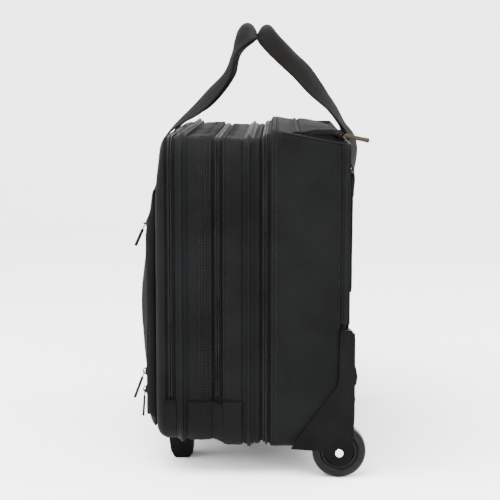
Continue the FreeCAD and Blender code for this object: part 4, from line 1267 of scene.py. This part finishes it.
def slope_underside(piece):
    """Lets the flap's lower points follow the sloping top of the case."""
    points = np.array([v.co for v in piece.data.vertices])
    base = case_slope(points[:, 1]) + 0.7 * MM
    points[:, 2] = np.maximum(points[:, 2], base)
    piece.data.vertices.foreach_set("co", points.ravel())
    piece.data.update()


def hatch_rim(half, top):
    """The zip tape round the ends and rear of the hatch, fixed to the case, with its coil."""
    depths = spaced(FLAP_FRONT + 1 * MM, FLAP_REAR + 0.5 * MM, 3 * MM)
    outside = high("hatch_zip")[0] - 0.7 * MM
    for side, label, climb in ((-1, "left", 0.04), (1, "right", 0.42)):
        crown = [min(top + 0.5 * MM, case_slope(y) + 2.0 * MM + (y - FLAP_FRONT) * climb) for y in depths]
        rows = [rim_section(side, half + 0.5 * MM, outside, y, z) for y, z in zip(depths, crown)]
        faces = tube_faces(len(rows), len(rows[0]))
        tape = new_mesh("hatch_rim_" + label, rows, faces if side < 0 else flipped(faces))
        finish_piece(tape, "rear_case", TAPE, ["hatch_zip"] if side > 0 else ())
        rim_coil(label, side, outside, depths, crown)
    rear = FLAP_REAR + 1.2 * MM
    path = dense([(-half, rear, case_slope(rear) + 2 * MM), (half, rear, case_slope(rear) + 2 * MM)], 5 * MM)
    strip = tube_along("hatch_rear_tape", path, 1.0 * MM, 3.0 * MM, (0, 0.3, 1))
    finish_piece(strip, "rear_case", TAPE)


def rim_section(side, inside, outside, y, crown):
    """Points round the rim at one depth, from its inner foot over the crown to its outer foot."""
    base = case_slope(y) - 1.2 * MM
    outline = ((inside, base), (inside, crown - 0.6 * MM), ((inside + outside) / 2, crown),
               (outside - 0.3 * MM, crown - 0.5 * MM), (outside, crown - 2 * MM),
               (outside - 0.8 * MM, (crown + base) / 2 + 1 * MM), (outside + 0.5 * MM, base + 1.5 * MM),
               (outside + 0.6 * MM, base))
    return [(side * x, y, z) for x, z in outline]


def rim_coil(label, side, outside, depths, crown):
    at = np.arange(FLAP_FRONT + 4 * MM, FLAP_REAR - 2 * MM, COIL_PITCH)
    for shift, row in ((-0.9 * MM, "a"), (0.9 * MM, "b")):
        heights = np.interp(at, depths, crown) - 3.8 * MM + shift
        centre = np.stack([np.full(len(at), side * outside), at, heights], axis=1)
        lean = np.tile([0, 0.25 * np.sign(shift), 1.0], (len(at), 1))
        out = np.tile([side * 1.0, 0, 0], (len(at), 1))
        coil_row("hatch_coil_%s_%s" % (label, row), (2.0 * MM, 1.1 * MM, 1.2 * MM), centre, lean, out,
                 "rear_case")


def front_fold(half):
    """Two folds of cloth along the flap's front seam."""
    for number, (y, lift, size) in enumerate(((FLAP_FRONT - 2.5 * MM, 1.2 * MM, 2.0 * MM),
                                              (FLAP_FRONT - 7 * MM, 0.4 * MM, 1.4 * MM))):
        path = dense([(-half + 2 * MM, y, 0), (half - 2 * MM, y, 0)], 6 * MM)
        path[:, 2] = case_slope(y) + lift + ripple("fold", 0.08)(path[:, 0], y) * 0.3 * MM
        fold = tube_along("hatch_front_fold_%d" % number, path, size * 1.3, size, (0, 0, 1))
        finish_piece(fold, "rear_case", SHELL)


# ------------------------------------------------------------------ carrying handles

WEB_HALF = 19 * MM
WEB_THICK = 0.9 * MM
STRAP_X = 74 * MM
STRAP_STEPS = 200
STRAP_COLUMNS = 25
SEAM_COLUMNS = {"a": 3, "b": 21}
FOLD = 2.2                # how sharply a strap folds along its middle

# Half of each strap, from its sewn foot to the middle of its grip: place, direction of its width, and
# how far it is folded, in radians.
FRONT_STRAP = [
    ((0.0740, -0.1010, 0.3120), (1, 0, 0), 0),
    ((0.0740, -0.1020, 0.3240), (1, 0, 0), 0),
    ((0.0740, -0.1015, 0.3370), (1, 0, 0), 0),
    ((0.0740, -0.0985, 0.3500), (1, 0, 0), 0),
    ((0.0740, -0.0900, 0.3635), (1, 0.03, -0.03), 0.1),
    ((0.0740, -0.0758, 0.3765), (0.98, 0.11, -0.13), 0.2),
    ((0.0740, -0.0590, 0.3895), (0.95, 0.22, -0.24), 0.2),
    ((0.0730, -0.0434, 0.4070), (0.94, 0.26, -0.22), 0.3),
    ((0.0710, -0.0289, 0.4267), (0.98, 0.18, -0.1), 0.5),
    ((0.0680, -0.0215, 0.4465), (1, 0.03, 0), 0.7),
    ((0.0580, -0.0150, 0.4650), (0.78, 0.6, 0.2), 1.5),
    ((0.0400, -0.0090, 0.4775), (0.4, 0.9, 0.1), 2.2),
    ((0.0200, -0.0058, 0.4825), (0.1, 1, 0), 2.4),
    ((0.0, -0.0050, 0.4835), (0, 1, 0), 2.5)]

REAR_STRAP = [
    ((0.0740, 0.1145, 0.2960), (1, 0, 0), 0),
    ((0.0740, 0.1155, 0.3120), (1, 0, 0), 0),
    ((0.0740, 0.1150, 0.3280), (0.97, -0.2, 0), 0),
    ((0.0740, 0.1142, 0.3430), (0.95, -0.3, 0), 0),
    ((0.0740, 0.1125, 0.3570), (0.97, -0.22, -0.03), -0.1),
    ((0.0740, 0.1040, 0.3705), (0.99, -0.11, -0.08), -0.15),
    ((0.0740, 0.0940, 0.3860), (0.97, -0.2, -0.13), -0.2),
    ((0.0730, 0.0835, 0.3985), (0.93, -0.3, -0.2), -0.25),
    ((0.0720, 0.0720, 0.4120), (0.87, -0.4, -0.3), -0.3),
    ((0.0700, 0.0585, 0.4300), (0.82, -0.45, -0.36), -0.5),
    ((0.0660, 0.0425, 0.4475), (0.78, -0.55, -0.3), -0.9),
    ((0.0560, 0.0290, 0.4640), (0.62, -0.76, -0.2), -1.5),
    ((0.0400, 0.0205, 0.4755), (0.35, -0.93, -0.05), -2.2),
    ((0.0200, 0.0175, 0.4805), (0.1, -1, 0), -2.4),
    ((0.0, 0.0170, 0.4815), (0, -1, 0), -2.5)]


def smooth_through(at, values, t):
    """Cubic curve through values, with slopes taken from their neighbours."""
    slopes = np.gradient(values, at)
    k = np.clip(np.searchsorted(at, t) - 1, 0, len(at) - 2)
    gap = at[k + 1] - at[k]
    s = (t - at[k]) / gap
    return ((2 * s ** 3 - 3 * s ** 2 + 1) * values[k] + (s ** 3 - 2 * s ** 2 + s) * gap * slopes[k]
            + (3 * s ** 2 - 2 * s ** 3) * values[k + 1] + (s ** 3 - s ** 2) * gap * slopes[k + 1])


def whole_strap(half):
    """Continues a half strap to its other foot, mirrored in x."""
    other = [((-p[0], p[1], p[2]), (-w[0], w[1], w[2]), bend) for p, w, bend in half[::-1][1:]]
    return half + other


def strap_line(stations):
    """Points, width directions, outward directions and folds along a strap."""
    at = np.linspace(0, 1, len(stations))
    t = np.linspace(0, 1, STRAP_STEPS)
    places, widths, bends = [np.array(column, float) for column in zip(*stations)]
    path = np.stack([smooth_through(at, column, t) for column in places.T], axis=1)
    width = np.stack([smooth_through(at, column, t) for column in widths.T], axis=1)
    tangent = unit(np.gradient(path, axis=0))
    width = square_to(tangent, width)
    return path, width, np.cross(width, tangent), smooth_through(at, bends, t)


def strap_section(across, bend):
    """A cross-section folded from flat to a U: its middle line, then its outward directions."""
    fold = bend / 2 * np.tanh(across * FOLD) / math.tanh(FOLD)
    step = np.diff(across, prepend=across[0])
    u = np.cumsum(np.cos(fold) * step) * WEB_HALF
    w = np.cumsum(-np.sin(fold) * step) * WEB_HALF
    return u - (u[0] + u[-1]) / 2, w - w[len(w) // 2], np.sin(fold), np.cos(fold)


def webbing(name, stations):
    """A ribbed woven strap through its stations, and the lines where it is sewn."""
    across = np.linspace(-1, 1, STRAP_COLUMNS)
    edge = 1 - 0.35 * np.abs(across) ** 12
    rib = 1 + 0.12 * np.sign(np.cos(across * 40))
    thick = WEB_THICK * edge * rib
    rows = []
    seams = {label: [] for label in SEAM_COLUMNS}
    for place, width, out, bend in zip(*strap_line(stations)):
        u, w, nu, nw = strap_section(across, bend)
        middle = place + width * u[:, None] + out * w[:, None]
        facing = width * nu[:, None] + out * nw[:, None]
        proud = facing * thick[:, None]
        rows.append(np.concatenate([middle + proud, (middle - proud)[::-1]]))
        for label, column in SEAM_COLUMNS.items():
            seams[label].append((middle[column], facing[column]))
    return new_mesh(name, rows, tube_faces(STRAP_STEPS, 2 * STRAP_COLUMNS)), seams


def seam_stitches(name, seam):
    place, out = np.array(seam).transpose(1, 0, 2)
    along = distance_along(place)
    at = np.arange(2 * MM, along[-1] - 2 * MM, 3.6 * MM)
    centre = at_distances(at, along, place)
    tangent = unit(np.gradient(centre, axis=0))
    normal = square_to(tangent, at_distances(at, along, out))
    bead = capsule(2.6 * MM, 0.6 * MM, 0.5 * MM)
    return scatter(name, bead, centre + normal * WEB_THICK * 1.1, tangent, normal)


def make_handle(label, half):
    """A carrying strap with the stitches along its seams, in place of the part of that name."""
    strap, seams = webbing(label + "_webbing", whole_strap(half))
    pieces = [(strap, WEBBING)]
    pieces += [(seam_stitches("%s_seam_%s" % (label, name), seam), THREAD) for name, seam in seams.items()]
    for piece, material in pieces:
        finish_piece(piece, None, material)
        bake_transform(piece)
    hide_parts(label)


def make_strap_patches():
    """The squares that hold the rear strap's feet, sewn round and across."""
    outline = (20.5 * MM, 290 * MM, 316.5 * MM, 1 * MM)
    zigzag = ((-17, 0), (17, 0), (17, 21), (-17, 21), (-17, 0), (17, 21), (17, 0), (-17, 21))
    for side, label in ((-1, "left"), (1, "right")):
        patch = pillow("rear_strap_patch_" + label, outline, 112.8 * MM, 115.2 * MM, 0.6 * MM,
                       lambda x, z: z * 0, 8, side * STRAP_X)
        finish_piece(patch, "rear_case", WEBBING)
        box = [(side * STRAP_X + dx * MM, 0.14, 0.2925 + dz * MM) for dx, dz in zigzag]
        stitch_path("rear_strap_box_" + label, dense(box, 3 * MM), patch, (0, -1, 0), "rear_case",
                    3.0 * MM)


def make_handles():
    make_handle("front_handle", FRONT_STRAP)
    make_handle("rear_handle", REAR_STRAP)
    make_strap_patches()


# ------------------------------------------------------------------ zip hardware


def joint_named(name):
    return [j for j in frame["record"]["behaviour"]["joints"] if j["name"] == name][0]


def local_piece(name, mesh, origin, along, out, body, material, replaced=()):
    """Places a mesh built with local x along the pull and local z out of the cloth."""
    verts, faces = mesh
    along, out = unit(np.array([along, out], float))
    across = np.cross(out, along)
    points = np.array(origin) + verts[:, :1] * along + verts[:, 1:2] * across + verts[:, 2:] * out
    return finish_piece(new_mesh(name, points, faces), body, material, replaced)


def loft(rows):
    """Verts and faces of a closed loft through equal rings."""
    return np.array(rows, float).reshape(-1, 3), tube_faces(len(rows), len(rows[0]))


def ring_mesh(long, wide, wire, sides=8, steps=28, centre=0.0):
    """A flattened wire ring lying in the local xy plane."""
    verts = []
    for i in range(steps):
        a = 2 * math.pi * i / steps
        squared = (abs(math.cos(a)) ** 3 + abs(math.sin(a)) ** 3) ** (-1 / 3)
        cx, cy = math.cos(a) * squared, math.sin(a) * squared
        for j in range(sides):
            b = 2 * math.pi * j / sides
            r = wire * math.cos(b)
            verts.append((centre + cx * (long + r), cy * (wide + r), wire * math.sin(b)))
    return np.array(verts), flipped(grid_faces(steps, sides, True, True))


def slab(outline, z0, z1, round_over):
    """A rounded plate from a half-width outline of (x, half width) pairs."""
    outline = np.array(outline)
    loop = np.concatenate([outline, outline[::-1] * [1, -1]])
    centre = np.array([loop[:, 0].mean(), 0])
    away = loop - centre
    size = np.linalg.norm(away, axis=1)[:, None]
    rows = []
    for z, shrink in ((z0, round_over), (z0 + round_over * 0.6, round_over * 0.25), (z0 + round_over, 0),
                      (z1 - round_over, 0), (z1 - round_over * 0.6, round_over * 0.25), (z1, round_over)):
        ring = centre + away * (1 - shrink / np.maximum(size, 1e-6))
        rows.append([(x, y, z) for x, y in ring])
    return loft([row[::-1] for row in rows])


def slider_meshes():
    """The slider's two wings with a waist, and the bridge that holds the pull's ring."""
    half = 4.1 * MM
    lens = [(-half, 1.6 * MM), (-half * 0.8, 2.9 * MM), (-half * 0.3, 3.8 * MM), (half * 0.3, 4.0 * MM),
            (half * 0.8, 3.2 * MM), (half, 2.2 * MM)]
    plate = slab(lens, 0.2 * MM, 1.7 * MM, 0.45 * MM)
    reach, foot, height, half_bar, half_width = 3.1 * MM, 1.2 * MM, 3.0 * MM, 0.55 * MM, 0.9 * MM
    arch = []
    for a in np.linspace(0, math.pi, 13):
        x, z = math.cos(a) * reach, foot + math.sin(a) * height
        arch.append([(x + math.cos(a) * half_bar * c, s * half_width, z + math.sin(a) * half_bar * c)
                     for c, s in ((1, 1), (1, -1), (-1, -1), (-1, 1))])
    return plate, loft(arch)


def pull_meshes(length, flare, thick):
    """A small wire ring and the moulded cord bar that hangs from it."""
    ring = ring_mesh(3.2 * MM, 2.2 * MM, 0.5 * MM, centre=3.1 * MM)
    rows = []
    start = 6.6 * MM
    for share in np.linspace(0, 1, 46):
        x = start + (length - start) * share
        swell_end = 1 + flare * max(0.0, (share - 0.82) / 0.18) ** 0.7
        neck = min(1.0, 0.45 + share * 8)
        far_end = math.sqrt(max(0.02, 1 - max(0.0, (share - 0.94) / 0.06) ** 2))
        close = far_end * math.sqrt(min(1.0, 0.15 + share * 14))
        twist = 1 + 0.09 * math.sin(x / (2.3 * MM) * 2 * math.pi)
        half_w = 2.3 * MM * swell_end * neck * close * twist
        half_t = thick * swell_end ** 0.5 * close * twist
        rows.append([(x, half_w * math.cos(a), half_t * math.sin(a))
                     for a in np.linspace(0, 2 * math.pi, 15)[:-1]])
    return ring, loft([row[::-1] for row in rows])


FRONTWARD, SIDEWARD, DOWN, UP = (0, -1, 0), (-1, 0, 0), (0, 0, -1), (0, 0, 1)
HATCH_DROP = math.radians(12)

# Each zip: outward direction, hang of its pull, tilt off the cloth in degrees, way of its slider, then
# length, half thickness and flare of its pull (both sizes in millimetres).
ZIPS = {
    "quick": (FRONTWARD, DOWN, 24, (1, 0, 0), 27, 1.7, 0.15),
    "pocket_upper": (FRONTWARD, DOWN, 21, DOWN, 32, 1.5, 0.15),
    "pocket_lower": (FRONTWARD, DOWN, 4, UP, 30, 1.2, 0.35),
    "organizer": (SIDEWARD, DOWN, 7, UP, 33, 1.2, 0.15),
    "laptop": (SIDEWARD, DOWN, 7, UP, 33, 1.2, 0.15),
    "main": (SIDEWARD, DOWN, 4, UP, 33, 1.2, 0.15),
    "hatch": ((1, 0, 0), (0, math.cos(HATCH_DROP), -math.sin(HATCH_DROP)), 0, (0, -1, 0.08), 34, 1.5, 0.15),
}


def make_zip_hardware():
    """Seven sliders with their pulls, each placed by its own joint."""
    for name, (out, hang, tilt, slide_way, length, thick, flare) in ZIPS.items():
        pivot = np.array(joint_named(name + "_pull_swing")["pos_m"])
        out, hang, tilt = np.array(out, float), np.array(hang, float), math.radians(tilt)
        base = pivot - out * 2.5 * MM
        plate, bridge = slider_meshes()
        body = name + "_zip_slider"
        local_piece(name + "_slider_plate", plate, base, slide_way, out, body, HARDWARE, [name + "_slider"])
        local_piece(name + "_slider_bridge", bridge, base, slide_way, out, body, HARDWARE)
        lifted = hang * math.cos(tilt) + out * math.sin(tilt)
        normal = out * math.cos(tilt) - hang * math.sin(tilt)
        ring, bar = pull_meshes(length * MM, flare, thick * MM)
        body = name + "_zip_pull"
        local_piece(name + "_pull_ring", ring, pivot, lifted, normal, body, HARDWARE, [name + "_pull"])
        local_piece(name + "_pull_cord", bar, pivot, lifted, normal, body,
                    PULL_TAN if name == "hatch" else PULL)


# ------------------------------------------------------------------ cloth that crosses the zips' hinges


def hinge_cloth(name, sections, y0, y1, top, stand, sideways=True):
    """A strip round the bottom of two sections, its outline passing from the first section's to the second's.
    The sections are given from y0 to y1; sideways lets the strip climb the ends up to top."""
    section_a, section_b = sections
    loop = section_a.loop(y0)
    chosen = loop[1] < top if sideways else (loop[1] < top) & (np.abs(loop[0]) < 0.17)
    order = from_end_to_end(np.nonzero(chosen)[0], loop)
    outer = [(y, stand - 0.5 * MM * math.sin(math.pi * (y - y0) / (y1 - y0)))
             for y in spaced(y0, y1, 0.9 * MM)]
    rows = []
    for y, out in outer + [(y, out - 0.9 * MM) for y, out in outer[::-1]]:
        share = (y - y0) / (y1 - y0)
        x, z, nx, nz = section_a.loop(y) * (1 - share) + section_b.loop(y) * share
        rows.append(np.stack([x + nx * out, np.full(len(x), y), z + nz * out], axis=1)[order])
    points = np.array(rows)
    piece = new_mesh(name, points, strip_faces(len(rows), len(order)))
    finish_piece(piece, None, BASE)
    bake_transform(piece)


def make_hinges():
    end_top = ZIP_END - 2 * MM
    hinge_cloth("organizer_hinge_cloth", (FRONT, FRONT), low("organizer_zip_front_tape")[1] - 1.5 * MM,
                high("organizer_zip_rear_tape")[1] + 1.0 * MM, end_top,
                0.0)
    hinge_cloth("laptop_hinge_cloth", (FRONT, MIDDLE), low("laptop_zip_front_tape")[1] - 1.0 * MM,
                high("laptop_zip_rear_tape")[1] + 1.0 * MM, end_top,
                0.6 * MM)
    hinge_cloth("main_hinge_cloth", (MIDDLE, REAR), low("main_zip_front_tape")[1] - 0.5 * MM,
                high("main_zip_rear_tape")[1] + 0.5 * MM, 35 * MM,
                0.2 * MM, False)


# ------------------------------------------------------------------ run

dress_cad_nodes()
make_stage()
make_lights()
make_camera()
soften_moulded_parts()
make_rear_walls()
make_middle_section()
make_front_section()
make_front_panel()
make_front_pocket()
make_inner_pads()
make_back_panel()
make_back_pocket()
make_kick_ribs()
make_hatch()
make_handles()
make_zip_hardware()
make_hinges()
